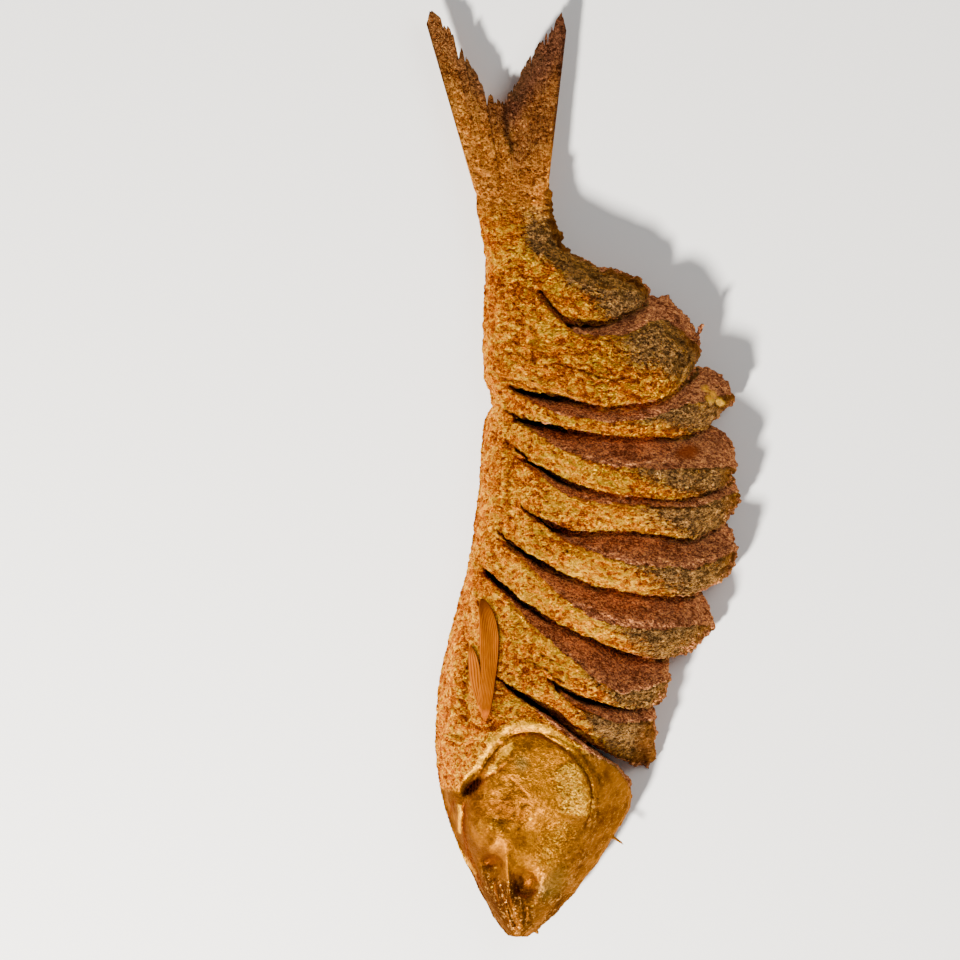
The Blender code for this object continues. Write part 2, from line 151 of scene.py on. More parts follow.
TIPS = (30, 53, 68.5, 69.5, 71.5, 70, 58.5, 39, 33)
BELLY_LINE = through(
    (139, -47), (126, -48.5), (98, -44.5), (60, -45.5), (42, -44.5), (34, -40.5), (26, -44.5), (-12, -48),
    (-40, -52), (-75, -61), (-100, -66), (-122, -67), (-142, -65), (-160, -60), (-183, -50), (-203, -40),
    (-211, -34),
)
BACK_LINE = through(
    (139, -21), (126, -16), (106, -11), (95, 8), (84, 31), (60, 54), (34, 69), (5, 72), (-38, 72), (-68, 61),
    (-95, 44), (-120, 31), (-147, 21), (-163, 14), (-189, -4), (-204, -18), (-211, -27),
)
TRUNK_BACK = through(
    (139, -21), (126, -16), (106, -11), (98, -4), (91, -6), (85, -21), (60, -26), (41, -33), (12, -31),
    (-14, -30), (-26, -39), (-43, -46), (-68, -43), (-92, -40), (-101, -30), (-113, -12), (-127, 6),
    (-132, 14), (-147, 21), (-163, 14), (-189, -4), (-204, -18), (-211, -27),
)


def slit_curve(root, values, tip):
    shares = (0.25, 0.5, 0.75, 1.0)
    return through(root, *((root[0] + (tip - root[0]) * s, v) for s, v in zip(shares, values)))


SLIT_EDGES = [slit_curve(slit.root, slit.edge, tip) for slit, tip in zip(SLITS, TIPS)]
NEXT_TIPS = (*TIPS[1:], TIPS[-1])
SLIT_RIMS = [slit_curve(slit.root, slit.rim, tip) for slit, tip in zip(SLITS, NEXT_TIPS)]


# Noise

def hashed(places, seed):
    """A fixed pseudo-random number from 0 to 1 for each whole-numbered place."""
    mixed = np.full(places.shape[:-1], seed * 2654435761 % 2**32, np.uint32)
    for axis, prime in enumerate((73856093, 19349663, 83492791)):
        mixed = mixed ^ (places[..., axis].astype(np.int64).astype(np.uint32) * np.uint32(prime))
        mixed = (mixed ^ (mixed >> np.uint32(15))) * np.uint32(2246822519)
    mixed = mixed ^ (mixed >> np.uint32(13))
    return mixed.astype(np.float64) / 2**32


def noise(points, size, seed):
    """Smooth noise from -1 to 1 with lumps of about the given size."""
    scaled = points / size
    cell = np.floor(scaled)
    weight = smooth_step(scaled - cell)
    total = np.zeros(len(points))
    for corner in np.ndindex(2, 2, 2):
        corner = np.array(corner)
        share = np.prod(np.where(corner, weight, 1 - weight), axis=1)
        total += share * hashed(cell + corner, seed)
    return total * 2 - 1


def rough(points, size, seed, octaves=3):
    """Noise with finer and fainter noise on top."""
    return sum(noise(points, size / 2**i, seed + i) / 2**i for i in range(octaves)) / 1.4


def lumps(points, size, seed):
    """Rounded swellings from 0 to 1 with sharp creases where they meet."""
    return np.minimum(np.abs(rough(points, size, seed, 2)) * 2.6, 1.0)


def cells(points, size, seed):
    """Irregular cells: how far inside its cell each point is, the cell's number and tilted height."""
    scaled = points / size
    home = np.floor(scaled)
    nearest = np.full(len(points), 9.0)
    second = np.full(len(points), 9.0)
    number = np.zeros(len(points))
    tilted = np.zeros(len(points))
    for step in np.ndindex(3, 3, 3):
        neighbour = home + np.array(step) - 1
        jitter = np.stack([hashed(neighbour, seed + axis) for axis in range(3)], axis=1)
        offset = neighbour + jitter - scaled
        distance = np.linalg.norm(offset, axis=1)
        closer = distance < nearest
        number = np.where(closer, hashed(neighbour, seed + 3), number)
        slope = np.stack([hashed(neighbour, seed + 4 + axis) for axis in range(3)], axis=1) - 0.5 + CELL_LEAN
        tilted = np.where(closer, (slope * offset).sum(axis=1), tilted)
        second = np.minimum(second, np.maximum(distance, nearest))
        nearest = np.minimum(nearest, distance)
    return smooth_step((second - nearest) * 1.6), number, tilted


# Meshes and arrays

def quad_mesh(name, points_mm, quads):
    mesh = bpy.data.meshes.new(name)
    mesh.vertices.add(len(points_mm))
    mesh.vertices.foreach_set("co", (points_mm * MM).astype(np.float32).ravel())
    mesh.loops.add(quads.size)
    mesh.loops.foreach_set("vertex_index", quads.astype(np.int32).ravel())
    mesh.polygons.add(len(quads))
    mesh.polygons.foreach_set("loop_start", np.arange(0, quads.size, quads.shape[1], dtype=np.int32))
    mesh.update(calc_edges=True)
    mesh.validate()
    mesh.shade_smooth()
    return mesh


def mesh_arrays(mesh):
    points = np.empty(len(mesh.vertices) * 3, np.float32)
    mesh.vertices.foreach_get("co", points)
    corners = np.empty(len(mesh.loops), np.int32)
    mesh.loops.foreach_get("vertex_index", corners)
    return points.reshape(-1, 3).astype(float) / MM, corners.reshape(-1, 4)


def edges_of(quads):
    pairs = np.vstack([quads[:, [0, 1]], quads[:, [1, 2]], quads[:, [2, 3]], quads[:, [3, 0]]])
    return np.unique(np.sort(pairs, axis=1), axis=0)


def neighbour_mean(values, edges, counts):
    """Each point's mean over its neighbours, for an array of one or several columns."""
    flat = values.reshape(len(values), -1)
    columns = []
    for column in flat.T:
        sums = np.bincount(edges[:, 0], column[edges[:, 1]], len(flat))
        sums += np.bincount(edges[:, 1], column[edges[:, 0]], len(flat))
        columns.append(sums / counts)
    return np.stack(columns, axis=1).reshape(values.shape)


def relaxed(points, edges, rounds):
    """Smooths a surface without shrinking it: each round pulls in and then pushes back."""
    counts = np.bincount(edges.ravel(), minlength=len(points))
    for _ in range(rounds):
        for strength in (0.5, -0.53):
            points = points + strength * (neighbour_mean(points, edges, counts) - points)
    return points


def normals_of(points, quads):
    across = points[quads[:, 2]] - points[quads[:, 0]]
    other = points[quads[:, 3]] - points[quads[:, 1]]
    face_normals = np.cross(across, other)
    summed = np.zeros_like(points)
    for corner in range(4):
        for axis in range(3):
            summed[:, axis] += np.bincount(quads[:, corner], face_normals[:, axis], len(points))
    return summed / np.maximum(np.linalg.norm(summed, axis=1, keepdims=True), 1e-9)


def add_object(name, data):
    item = bpy.data.objects.new(name, data)
    bpy.context.scene.collection.objects.link(item)
    return item


def grown_skin(node, voxel_mm):
    """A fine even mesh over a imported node, as points in millimetres and quads."""
    draft = add_object("draft", node.data.copy())
    remesh = draft.modifiers.new("remesh", "REMESH")
    remesh.mode = "VOXEL"
    remesh.voxel_size = voxel_mm * MM
    graph = bpy.context.evaluated_depsgraph_get()
    mesh = bpy.data.meshes.new_from_object(draft.evaluated_get(graph))
    points, quads = mesh_arrays(mesh)
    bpy.data.objects.remove(draft)
    bpy.data.meshes.remove(mesh)
    return points, quads


# Lines and spots drawn on the fish

def line_distance(xy, line):
    """How far each (x, y) is from a line of points, and the share along it of the nearest place."""
    line = np.array(line, float)
    lengths = np.linalg.norm(np.diff(line, axis=0), axis=1)
    starts = np.concatenate([[0], np.cumsum(lengths)])
    best = np.full(len(xy), 1e9)
    share = np.zeros(len(xy))
    for i, (a, b) in enumerate(zip(line[:-1], line[1:])):
        t = np.clip((xy - a) @ (b - a) / lengths[i] ** 2, 0, 1)
        distance = np.linalg.norm(xy - a - t[:, None] * (b - a), axis=1)
        nearer = distance < best
        best = np.where(nearer, distance, best)
        share = np.where(nearer, (starts[i] + t * lengths[i]) / starts[-1], share)
    return best, share


def fade(distance, width):
    """1 at no distance, fading to 0 about `width` away."""
    return np.exp(-((distance / width) ** 2))


def stroke(xy, pixels, width):
    """1 on a line through photo pixels, fading to 0 about `width` millimetres away and at its ends."""
    distance, share = line_distance(xy, from_photo(pixels))
    ends = smooth_step(np.minimum(share, 1 - share) / 0.12 + 0.15)
    return fade(distance, width) * ends


def spot(xy, pixel, across, along, turn=0.0):
    """1 at a photo pixel, fading to 0 over an ellipse with half sizes in millimetres, turned by degrees."""
    cos, sin = math.cos(math.radians(turn)), math.sin(math.radians(turn))
    offset = xy - from_pixel(*pixel)
    u = (offset[:, 0] * cos + offset[:, 1] * sin) / across
    v = (offset[:, 1] * cos - offset[:, 0] * sin) / along
    return np.exp(-((u * u + v * v) ** 1.5))


def drawn(xy, strokes=(), spots=()):
    """The sum of strokes (strength, line, width) and spots (strength, place, across, along, turn)."""
    total = sum(strength * stroke(xy, *shape) for strength, *shape in strokes)
    return total + sum(strength * spot(xy, *shape) for strength, *shape in spots)


# What is where on the fish

SKY_CELL_MM = 1.5
FIN_SKY_CELL_MM = 1.0
TIP_REACH = 4.0
CUT_EDGE_BLUR = 0.9
HEAD_EDGE = through(
    (-59, -143), (-52, -134), (-44, -123), (-38.5, -116), (-33, -112.5), (-27, -111), (-18, -113),
    (-9, -118), (-1.5, -125.5), (11, -131), (21, -140),
)
GILL_COVER_EDGE = (
    (503, 744), (512, 737), (521, 734), (531, 734), (541, 736), (551, 741), (561, 748), (569, 754),
    (576, 762), (583, 770), (589, 779), (592, 789), (593, 801), (592, 812), (589, 823), (584, 836),
)
SHOULDER_BAND = (
    (452, 790), (463, 776), (474, 765), (484, 752), (494, 739), (504, 730), (516, 726), (530, 725),
    (543, 727), (556, 736), (569, 745), (582, 757),
)
# Lines of painted highlight on the shoulder
SHOULDER_HIGHLIGHT = ((458, 782), (470, 768), (482, 750), (492, 738), (502, 728), (506, 716), (514, 712))
SHOULDER_HIGHLIGHT_ARC = ((522, 727), (532, 725), (543, 727), (552, 733))
GILL_SLOT = ((479, 777), (484, 769), (488, 762), (496, 752), (503, 744))
GILL_LIP = ((480, 786), (486, 781), (492, 776), (499, 772), (506, 767))
GILL_HOLE = (472, 790)
CHEEK = (503, 843)
CHEEK_BROW = ((474, 838), (479, 831), (487, 828), (496, 829), (505, 834))
CHEEK_SHADE = ((472, 815), (482, 810), (492, 808), (503, 810), (516, 816), (529, 826))
JAW_SHADE = ((476, 850), (482, 866), (489, 882), (496, 898), (503, 914))
CHEEK_PIT = (492, 866)
EYE_PIT = (527, 886)
EYE_RIM = ((512, 873), (520, 871), (529, 874), (536, 880), (540, 888))
EYE_FLOOR_LINE = ((516, 893), (520, 899), (526, 902), (532, 900), (538, 893))
SNOUT_RIDGE = ((505, 856), (506, 868), (507, 880), (510, 892), (512, 902))
PRE_GILL_LINE = ((508, 779), (516, 785), (524, 794), (530, 799))
THROAT_LINE = ((464, 803), (463, 818), (464, 836), (467, 856), (474, 876), (484, 896))
THROAT_EDGE = ((454, 803), (451, 814), (447, 826))
THROAT_BONES = (((459, 806), (459, 822), (460, 840)), ((454, 846), (461, 858), (470, 870), (477, 882)))
SNOUT_STREAKS = (
    ((499, 878), (504, 896), (510, 914), (515, 930)),
    ((495, 886), (499, 902), (505, 918)),
    ((515, 880), (518, 890), (521, 898)),
    ((524, 905), (526, 918), (527, 930)),
    ((508, 906), (512, 920), (518, 934)),
)
FACE_SHADE = ((600, 806), (597, 826), (592, 846), (584, 866), (573, 884), (560, 902))
FACE_SPOTS = (
    (500, 812), (525, 806), (529, 790), (516, 816), (536, 812), (495, 822), (519, 832), (538, 842),
)
PALE_FLECKS = ((496, 872), (492, 892), (533, 911), (488, 775), (474, 791), (531, 821))
BELLY_FOLD = ((468, 640), (470, 660), (466, 690), (467, 712), (468, 734))
BELLY_RIDGE = ((453, 645), (453, 670), (453, 700), (453, 725), (455, 738))
BELLY_HOLLOW = (461, 740)
BELLY_CREASES = (((440, 712), (452, 711), (464, 712)), ((441, 738), (452, 737), (463, 741)))
SHALLOW_SCORE = ((556, 361), (568, 366), (585, 370), (600, 376), (615, 379), (632, 376))
ROOT_CRACKS = (
    ((489, 369), (500, 376), (512, 379), (532, 381)),
    ((540, 283), (547, 296), (555, 307), (566, 318)),
    ((504, 408), (512, 413), (522, 416)),
    ((505, 441), (513, 446), (520, 451)),
    ((472, 568), (480, 566), (488, 573)),
    ((514, 660), (530, 663), (548, 671), (566, 686)),
    ((540, 655), (552, 661), (562, 667)),
)
SCALE_ARCS = (
    ((494, 344), (503, 340), (514, 340), (523, 346)),
    ((495, 356), (506, 351), (518, 352), (527, 358)),
    ((494, 372), (497, 361), (508, 358), (520, 362)),
    ((497, 332), (507, 327), (519, 330)),
    ((520, 322), (530, 325), (537, 333)),
    ((502, 388), (512, 384), (521, 390)),
    ((536, 250), (544, 262), (548, 276)),
    ((501, 190), (512, 185), (524, 187), (534, 194)),
    ((497, 178), (508, 171), (522, 171), (536, 180)),
    ((505, 165), (516, 160), (528, 163)),
    ((520, 642), (528, 634), (538, 637)),
    ((524, 656), (533, 648), (545, 652)),
    ((500, 706), (508, 700), (517, 705)),
)
LEAF_LINE = ((484, 738), (486, 715), (487, 690), (488, 660), (489, 635), (484, 600), (480, 588))
GOLD_FLAKES = ((708, 388), (716, 393), (723, 401), (712, 398))
RED_BLOB = (690, 452)
# Bands on the slices that are painted lighter, as painted highlight
SLICE_HIGHLIGHT_BANDS = (
    ((530, 448), (565, 462), (600, 476), (635, 486)),
    ((540, 500), (580, 514), (620, 526), (655, 530)),
    ((520, 540), (555, 562), (595, 580), (640, 590)),
    ((515, 568), (545, 592), (580, 612), (620, 628)),
    ((505, 600), (530, 632), (560, 655), (600, 672)),
)
BLACK_SPECK = (568, 552)
GOLD_GRAIN = ((564, 764), (571, 778), (574, 792), (578, 806), (576, 820))
GILL_GLOW = (506, 752)
GILL_GLOW_LOW = (493, 770)
GOLD_TRAIL = ((566, 822), (556, 840), (548, 858), (543, 874))
GILL_COVER_MIDDLE = (533, 800)
GILL_COVER_REACH = 29.0
GREY_PATCH = (522, 765)
OLIVE_PATCH = (554, 888)


# For each mark, the strokes (strength, line, width) and the spots (strength, place, across, along, turn)
# that are painted on the skin, in millimetres and degrees
PAINTED = {
    # Painted highlights on the shoulder band, the top of the gill cover, the cheek's brow and the snout's
    # ridge, and the real pale throat bones and flecks
    "highlight_and_pale_bits": (
        (
            (0.8, SHOULDER_HIGHLIGHT, 2.8), (0.75, SHOULDER_BAND, 3.8), (0.6, SHOULDER_HIGHLIGHT_ARC, 1.6),
            (0.3, CHEEK_BROW, 3.8), (0.15, SNOUT_RIDGE, 2.2), *((0.9, line, 1.0) for line in THROAT_BONES),
        ),
        (
            (1.0, GILL_GLOW, 2.6, 5.4, -38), (0.8, GILL_GLOW_LOW, 2.2, 3.2, -38),
            *((0.8, place, 0.9, 0.7) for place in PALE_FLECKS),
        ),
    ),
    "gold": ((), [(1.0, place, 1.9, 1.3, -35) for place in GOLD_FLAKES]),
    # Painted highlights along the bands of the slices
    "band_highlight": ([(1.0, line, 6.5) for line in SLICE_HIGHLIGHT_BANDS], ()),
    "red": ((), ((1.0, RED_BLOB, 5.0, 3.4, 10),)),
    "grey": ((), ((1.0, GREY_PATCH, 3.2, 3.6, 20), (0.7, OLIVE_PATCH, 5.5, 9.0, -35))),
    # Painted shade on the back edge of the head and under the gill's lip, and darker spots on the face
    "dim": (
        ((0.8, FACE_SHADE, 4.2), (0.5, GILL_LIP, 1.2)),
        [(0.6, place, 1.3, 1.0, 30) for place in FACE_SPOTS],
    ),
    # Painted shade in the hollow above the cheek, on the jaw's slope and along the throat's groove
    "deep": (((1.0, CHEEK_SHADE, 6.0), (1.2, JAW_SHADE, 6.0), (1.0, THROAT_LINE, 3.4)), ()),
    # Painted shade: black in the gill's hole and slot; also one real black speck
    "hole_shade_and_speck": (((0.8, GILL_SLOT, 0.6),), ((2.2, GILL_HOLE, 5.0, 2.1, 44), (1.0, BLACK_SPECK, 0.9, 0.8))),
    # Painted shade: dark red-brown lines and spots along the grooves, cracks, folds, scale edges and gill
    # edges and in the pits and hollows
    "stain_and_crease_shade": (
        (
            (0.8, EYE_FLOOR_LINE, 0.8), (0.5, EYE_RIM, 0.6), (0.8, THROAT_LINE, 1.1),
            (0.8, THROAT_EDGE, 0.8), (0.5, GILL_COVER_EDGE, 0.45), (0.6, PRE_GILL_LINE, 0.4),
            (0.7, GILL_LIP, 0.6), (0.5, BELLY_FOLD, 0.9), (0.9, SHALLOW_SCORE, 0.9),
            *((0.8, line, 0.55) for line in ROOT_CRACKS),
            *((0.7, line, 0.42) for line in (*SCALE_ARCS, *BELLY_CREASES)),
        ),
        ((0.4, EYE_PIT, 4.0, 5.4, 12), (0.6, CHEEK_PIT, 4.0, 3.0, 12), (0.5, BELLY_HOLLOW, 4.0, 2.6, 35)),
    ),
}

# The same for the height in millimetres that is added to the head, and to the flank and belly
HEAD_RELIEF = (
    (
        (0.8, SHOULDER_BAND, 2.8), (-1.2, GILL_COVER_EDGE, 0.8), (-1.6, GILL_SLOT, 1.3),
        (-0.7, GILL_LIP, 1.0), (1.3, CHEEK_BROW, 3.2), (0.9, EYE_RIM, 1.2), (1.5, SNOUT_RIDGE, 2.4),
        (-0.4, PRE_GILL_LINE, 0.7), (1.3, GOLD_GRAIN, 5.0), (-1.6, THROAT_LINE, 1.3),
        (-1.0, THROAT_EDGE, 1.0),
        *((0.9, line, 1.3) for line in THROAT_BONES), *((-0.55, line, 0.9) for line in SNOUT_STREAKS),
    ),
    (
        (-2.2, GILL_HOLE, 6.2, 3.4, 44), (1.0, GILL_GLOW_LOW, 2.0, 2.4, -38), (3.0, CHEEK, 11.0, 9.0),
        (-3.0, CHEEK_PIT, 5.0, 3.6, 12), (-2.3, EYE_PIT, 4.6, 6.2, 12),
        *((-0.35, place, 1.6, 1.2, 30) for place in FACE_SPOTS),
    ),
)
BODY_RELIEF = (
    (
        (-1.6, SHALLOW_SCORE, 1.0), (-1.3, BELLY_FOLD, 1.4), (0.9, BELLY_RIDGE, 3.0),
        *((-1.3, line, 0.75) for line in ROOT_CRACKS),
        *((-0.45, line, 0.6) for line in (*SCALE_ARCS, *BELLY_CREASES)),
    ),
    ((-2.2, BELLY_HOLLOW, 4.5, 2.8, 35), *((0.7, place, 2.0, 1.4, -35) for place in GOLD_FLAKES)),
)
COVER_LIP_WIDTH = 6.0
COVER_LIP_HEIGHTS = (1.0, 2.2)


class SkyMap:
    """The height of the fish's upper side at any (x, y) in millimetres."""

    def __init__(self, points, cell, blur=0):
        self.cell = cell
        self.low = points[:, :2].min(axis=0)
        i, j = self.cells_of(points)
        self.heights = np.zeros((i.max() + 2, j.max() + 2))
        np.maximum.at(self.heights, (i, j), points[:, 2])
        for _ in range(blur):
            for axis in (0, 1):
                shifted = np.roll(self.heights, 1, axis) + np.roll(self.heights, -1, axis)
                self.heights = 0.5 * self.heights + 0.25 * shifted

    def cells_of(self, points):
        return ((points[:, :2] - self.low) / self.cell).astype(int).T

    def depth(self, points):
        """How far each point lies under the highest point of the fish straight above it."""
        return self.heights[tuple(self.cells_of(points))] - points[:, 2]

    def at(self, x, y):
        u = (x - self.low[0]) / self.cell - 0.5
        v = (y - self.low[1]) / self.cell - 0.5
        i = np.clip(u.astype(int), 0, self.heights.shape[0] - 2)
        j = np.clip(v.astype(int), 0, self.heights.shape[1] - 2)
        s, t = np.clip(u - i, 0, 1), np.clip(v - j, 0, 1)
        low = self.heights[i, j] * (1 - s) + self.heights[i + 1, j] * s
        high = self.heights[i, j + 1] * (1 - s) + self.heights[i + 1, j + 1] * s
        return low * (1 - t) + high * t


def slice_marks(points):
    """Each point's cut, rim, lip, shade and narrow slit, and its share of the way from its slice's rim."""
    x, y, _ = points.T
    wavering = y + 0.9 * noise(points, 2.2, 31) + 0.6 * noise(points, 7.0, 32)
    cut, rim, lip, shade, narrow = np.zeros((5, len(x)))
    from_rim = np.full(len(x), 0.5)
    for k, slit in enumerate(SLITS):
        edge, next_rim = SLIT_EDGES[k](x), SLIT_RIMS[k](x)
        beyond_root = x - slit.root[0]
        opened = step_up(beyond_root, 0, 3.0) * (x < NEXT_TIPS[k] + TIP_REACH)
        past_tip = step_up(x, TIPS[k] - 2, 3.0)
        below_edge = smooth_step((edge - wavering) / CUT_EDGE_BLUR + 0.5)
        just_past = past_tip * smooth_step((next_rim + 18 - wavering) / 2.0)
        above_rim = smooth_step((wavering - next_rim) / CUT_EDGE_BLUR + 0.5)
        face = np.maximum(below_edge, just_past) * above_rim * opened
        cut = np.maximum(cut, face)
        rim = np.maximum(rim, fade(wavering - next_rim + 0.9, 0.8) * opened)
        lip = np.maximum(lip, fade(wavering - edge - 0.9, 0.9) * opened * (1 - past_tip))
        # Painted shade: the cut face is darkened just under the overhanging edge of the slice above, less so
        # far from the root
        deep = 1 - 0.45 * step_up(beyond_root, 18, 25)
        shade = np.maximum(shade, deep * face * fade(edge - y, 1.9) * (1 - past_tip))
        # Where a slit is narrow near its root it is carved down and also painted black as shade
        gap = np.maximum(edge - next_rim, 0)
        off_middle = np.abs(wavering - 0.5 * (edge + next_rim))
        near_middle = smooth_step((0.5 * gap + 1.0 - off_middle) / 0.7)
        root_share = step_up(beyond_root, -3.0, 2.0) * (1 - step_up(gap, 1.2, 2.6))
        narrow = np.maximum(narrow, near_middle * root_share * (x < TIPS[k]) * (gap > 0))
        if k + 1 < len(SLITS):
            lower_edge = SLIT_EDGES[k + 1](x)
            inside = (y < next_rim) & (y > lower_edge)
            share = (next_rim - y) / np.maximum(next_rim - lower_edge, 1.0)
            from_rim = np.where(inside, share, from_rim)
    return cut, rim * (1 - cut), lip * (1 - cut), np.maximum(shade, narrow), narrow, from_rim


def zones(points, normals):
    """Named shares from 0 to 1 that say what each point of the skin is."""
    x, y, z = points.T
    xy = points[:, :2]
    depth = SkyMap(points, SKY_CELL_MM).depth(points)
    cut, rim, lip, shade, narrow, from_rim = slice_marks(points)
    sliced = step_up(x, TRUNK_BACK(y) - 1.0, 2.0) * (y > -143) * (y < 99)
    buried = step_up(depth, 1.8, 2.0) * sliced
    under = step_up(-normals[:, 2], 0.5, 0.3) * smooth_step((8 - z) / 4)
    head = smooth_step((HEAD_EDGE(x) - y) / 2.5 + 0.5) * (1 - cut)
    across = (x - BELLY_LINE(y)) / (BACK_LINE(y) - BELLY_LINE(y))
    slant = 0.22 * (0.5 - from_rim) * sliced + 0.13 * step_up(y, 60, 20)
    off_stalk = 1 - 0.75 * step_up(y, 108, 22)
    tip_side = step_up(across, 0.8, 0.15)
    zone = {name: drawn(xy, *shapes) for name, shapes in PAINTED.items()}
    zone |= {
        "cut": np.maximum(cut, buried) * (1 - under),
        # The rims of the slices, which the skin's colour paints lighter, as painted highlight
        "rim": rim * smooth_step(noise(points, 8.0, 35) + 0.55),
        "lip": lip,
        # Painted shade also darkens the flesh the further it lies below the top of the fish
        "shade": np.maximum(shade, 0.6 * step_up(depth, 6, 10) * sliced * (1 - tip_side)),
        "narrow": narrow,
        "head": head * (1 - buried),
        "back": step_up(across + slant, 0.5, 0.34) * off_stalk,
        "crust": step_up(across, 0.86, 0.12),
        # The belly side, which faces the key light: painted shade darkens the head's amber there
        "belly": 1 - step_up(across, 0, 0.4),
        "facing": 1 - step_up(across, 0, 0.7),
        "under": under,
        "stalk": step_up(y, 106, 24),
        "near_fin": step_up(y, 112, 16),
        "into_fin": step_up(y - 1.5 * noise(points, 5.0, 43), 132, 7),
        "snout": step_up(-y, 174, 22),
        "top": step_up(normals[:, 2], 0.2, 0.4) * (depth < 2.5),
        "leaf": np.minimum(stroke(xy, LEAF_LINE, 5.5) * 1.6, 1),
    }
    zone["skin"] = (1 - zone["cut"]) * (1 - zone["head"])
    zone["gold"] += drawn(xy, ((0.85, GOLD_GRAIN, 7.0), (0.32, GOLD_TRAIL, 6.0))) * zone["head"]
    return {name: np.clip(value, 0, 1) for name, value in zone.items()}


def head_form(xy):
    """Height in millimetres that the head's bones, folds and pits add to the upper side."""
    gap, share = line_distance(xy, from_photo(GILL_COVER_EDGE))
    inside = np.linalg.norm(xy - from_pixel(*GILL_COVER_MIDDLE), axis=1) < GILL_COVER_REACH
    low, high = COVER_LIP_HEIGHTS
    height = low + (high - low) * step_up(share, 0.35, 0.3)
    ends = step_up(share, 0, 0.1) * smooth_step((1 - share) / 0.3)
    return inside * fade(gap, COVER_LIP_WIDTH) * height * ends + drawn(xy, *HEAD_RELIEF)


def crisp_surface(points, normals, zone):
    """The points moved out and in for scales, ripples, fibres and crags, and how far each rose."""
    bent = points + np.stack([noise(points, 3.2, seed) for seed in (3, 4, 6)], axis=1)
    uneven = smooth_step(0.5 + 0.9 * rough(points, 22.0, 49, 2))
    strength = (0.35 + 0.5 * uneven) * (1 - 0.35 * zone["belly"])
    scaled = bent * SCALE_STRETCH
    inside, plate, tilted = cells(scaled, SCALE_MM, 5)
    scales = 0.25 * inside + 0.3 * plate + 1.05 * tilted + 0.45 * lumps(scaled, LUMP_MM, 7) - 0.45
    _, small_plate, small_tilted = cells(scaled, SMALL_SCALE_MM, 12)
    chips = 0.2 * small_plate + 0.5 * small_tilted - 0.1
    ripples = rough(points * (0.3, 1.0, 0.7), RIPPLE_MM, 9, 2)
    swell = rough(points, SWELL_MM, 13, 2)
    grain = noise(points, GRAIN_MM, 17)
    crags = rough(points, CRAG_MM, 21, 3) + 0.5 * (inside + plate - 1) + 0.5 * tilted
    fibres = rough(points * (0.55, 1.0, 0.8), FIBRE_MM, 29, 2)
    back, stalk = zone["back"], zone["stalk"]
    skin_rise = strength * scales * (1.0 - 0.4 * back) * (1 - 0.45 * stalk)
    skin_rise = skin_rise + ripples * (0.2 + 0.4 * back) * (1 - 0.7 * stalk)
    skin_rise = skin_rise + 0.8 * chips + 0.12 * grain + 0.4 * swell
    flesh_rise = 0.45 * fibres + 0.35 * crags + 0.2 * grain + 0.6 * chips
    pebbles = 0.4 * chips + 0.35 * (inside + plate - 1) + 0.3 * tilted
    head_rise = 0.2 * rough(points, 3.5, 37, 2) + 0.6 * rough(points, 11.0, 39, 2) + 0.2 * chips
    head_rise = head_rise + np.maximum(zone["gold"], 0.7 * back) * pebbles
    rise = zone["skin"] * skin_rise + zone["cut"] * flesh_rise + zone["head"] * head_rise
    rise = rise * (1 - 0.7 * zone["under"])
    spikes = 1.6 * np.maximum(noise(points, SPIKE_MM, 47) - 0.1, 0)
    crust_rise = crags + spikes + 0.9 * rough(points, CRUST_MM, 45, 2)
    rise = rise + zone["crust"] * (1 - zone["head"]) * crust_rise
    rise = rise + 0.15 * zone["rim"] + zone["lip"] * (0.45 * grain + 0.35 * fibres)
    rise = rise * (1 - 0.8 * zone["leaf"]) * (1 - 0.25 * zone["near_fin"])
    shaped = points + normals * (rise - FIN_SINK_MM * zone["into_fin"])[:, None]
    xy = points[:, :2]
    form = head_form(xy) + drawn(xy, *BODY_RELIEF) * (1 - zone["cut"]) - SLIT_DEPTH_MM * zone["narrow"]
    shaped[:, 2] += zone["top"] * form
    # How far each point rose, which the materials paint lighter on tops and darker in hollows, as painted
    # light
    lift = zone["skin"] * (strength * 1.1 * scales + 0.5 * ripples * (1 - 0.7 * stalk) + 0.8 * chips)
    lift = lift + zone["cut"] * fibres * 0.6 + zone["head"] * 1.2 * head_rise
    return shaped, np.clip(lift, -1, 1)


# Pieces

def add_piece(name, mesh, material):
    piece = add_object(name, mesh)
    mesh.materials.append(material)
    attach(piece, "root")
    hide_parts("fish")


def set_marks(mesh, marks):
    """Stores each named share as a point attribute, for the materials to read."""
    for name, values in marks.items():
        layer = mesh.attributes.new(name, "FLOAT", "POINT")
        layer.data.foreach_set("value", values.astype(np.float32))


def cut_and_capped(mesh, planes):
    """Cuts a mesh at (height along Y in millimetres, side kept) planes and closes it with flat caps."""
    work = bmesh.new()
    work.from_mesh(mesh)
    for y, side in planes:
        cut = bmesh.ops.bisect_plane(
            work,
            geom=[*work.verts, *work.edges, *work.faces],
            dist=1e-7,
            plane_co=(0, y * MM, 0),
            plane_no=(0, side, 0),
            clear_inner=True,
        )
        edges = [item for item in cut["geom_cut"] if isinstance(item, bmesh.types.BMEdge)]
        border = [edge for edge in edges if edge.is_boundary]
        cap = bmesh.ops.triangle_fill(work, edges=border, use_beauty=False, normal=(0, -side, 0))
        for edge in border:
            edge.smooth = False
        for face in cap["geom"]:
            if isinstance(face, bmesh.types.BMFace):
                face.smooth = False
    work.to_mesh(mesh)
    work.free()


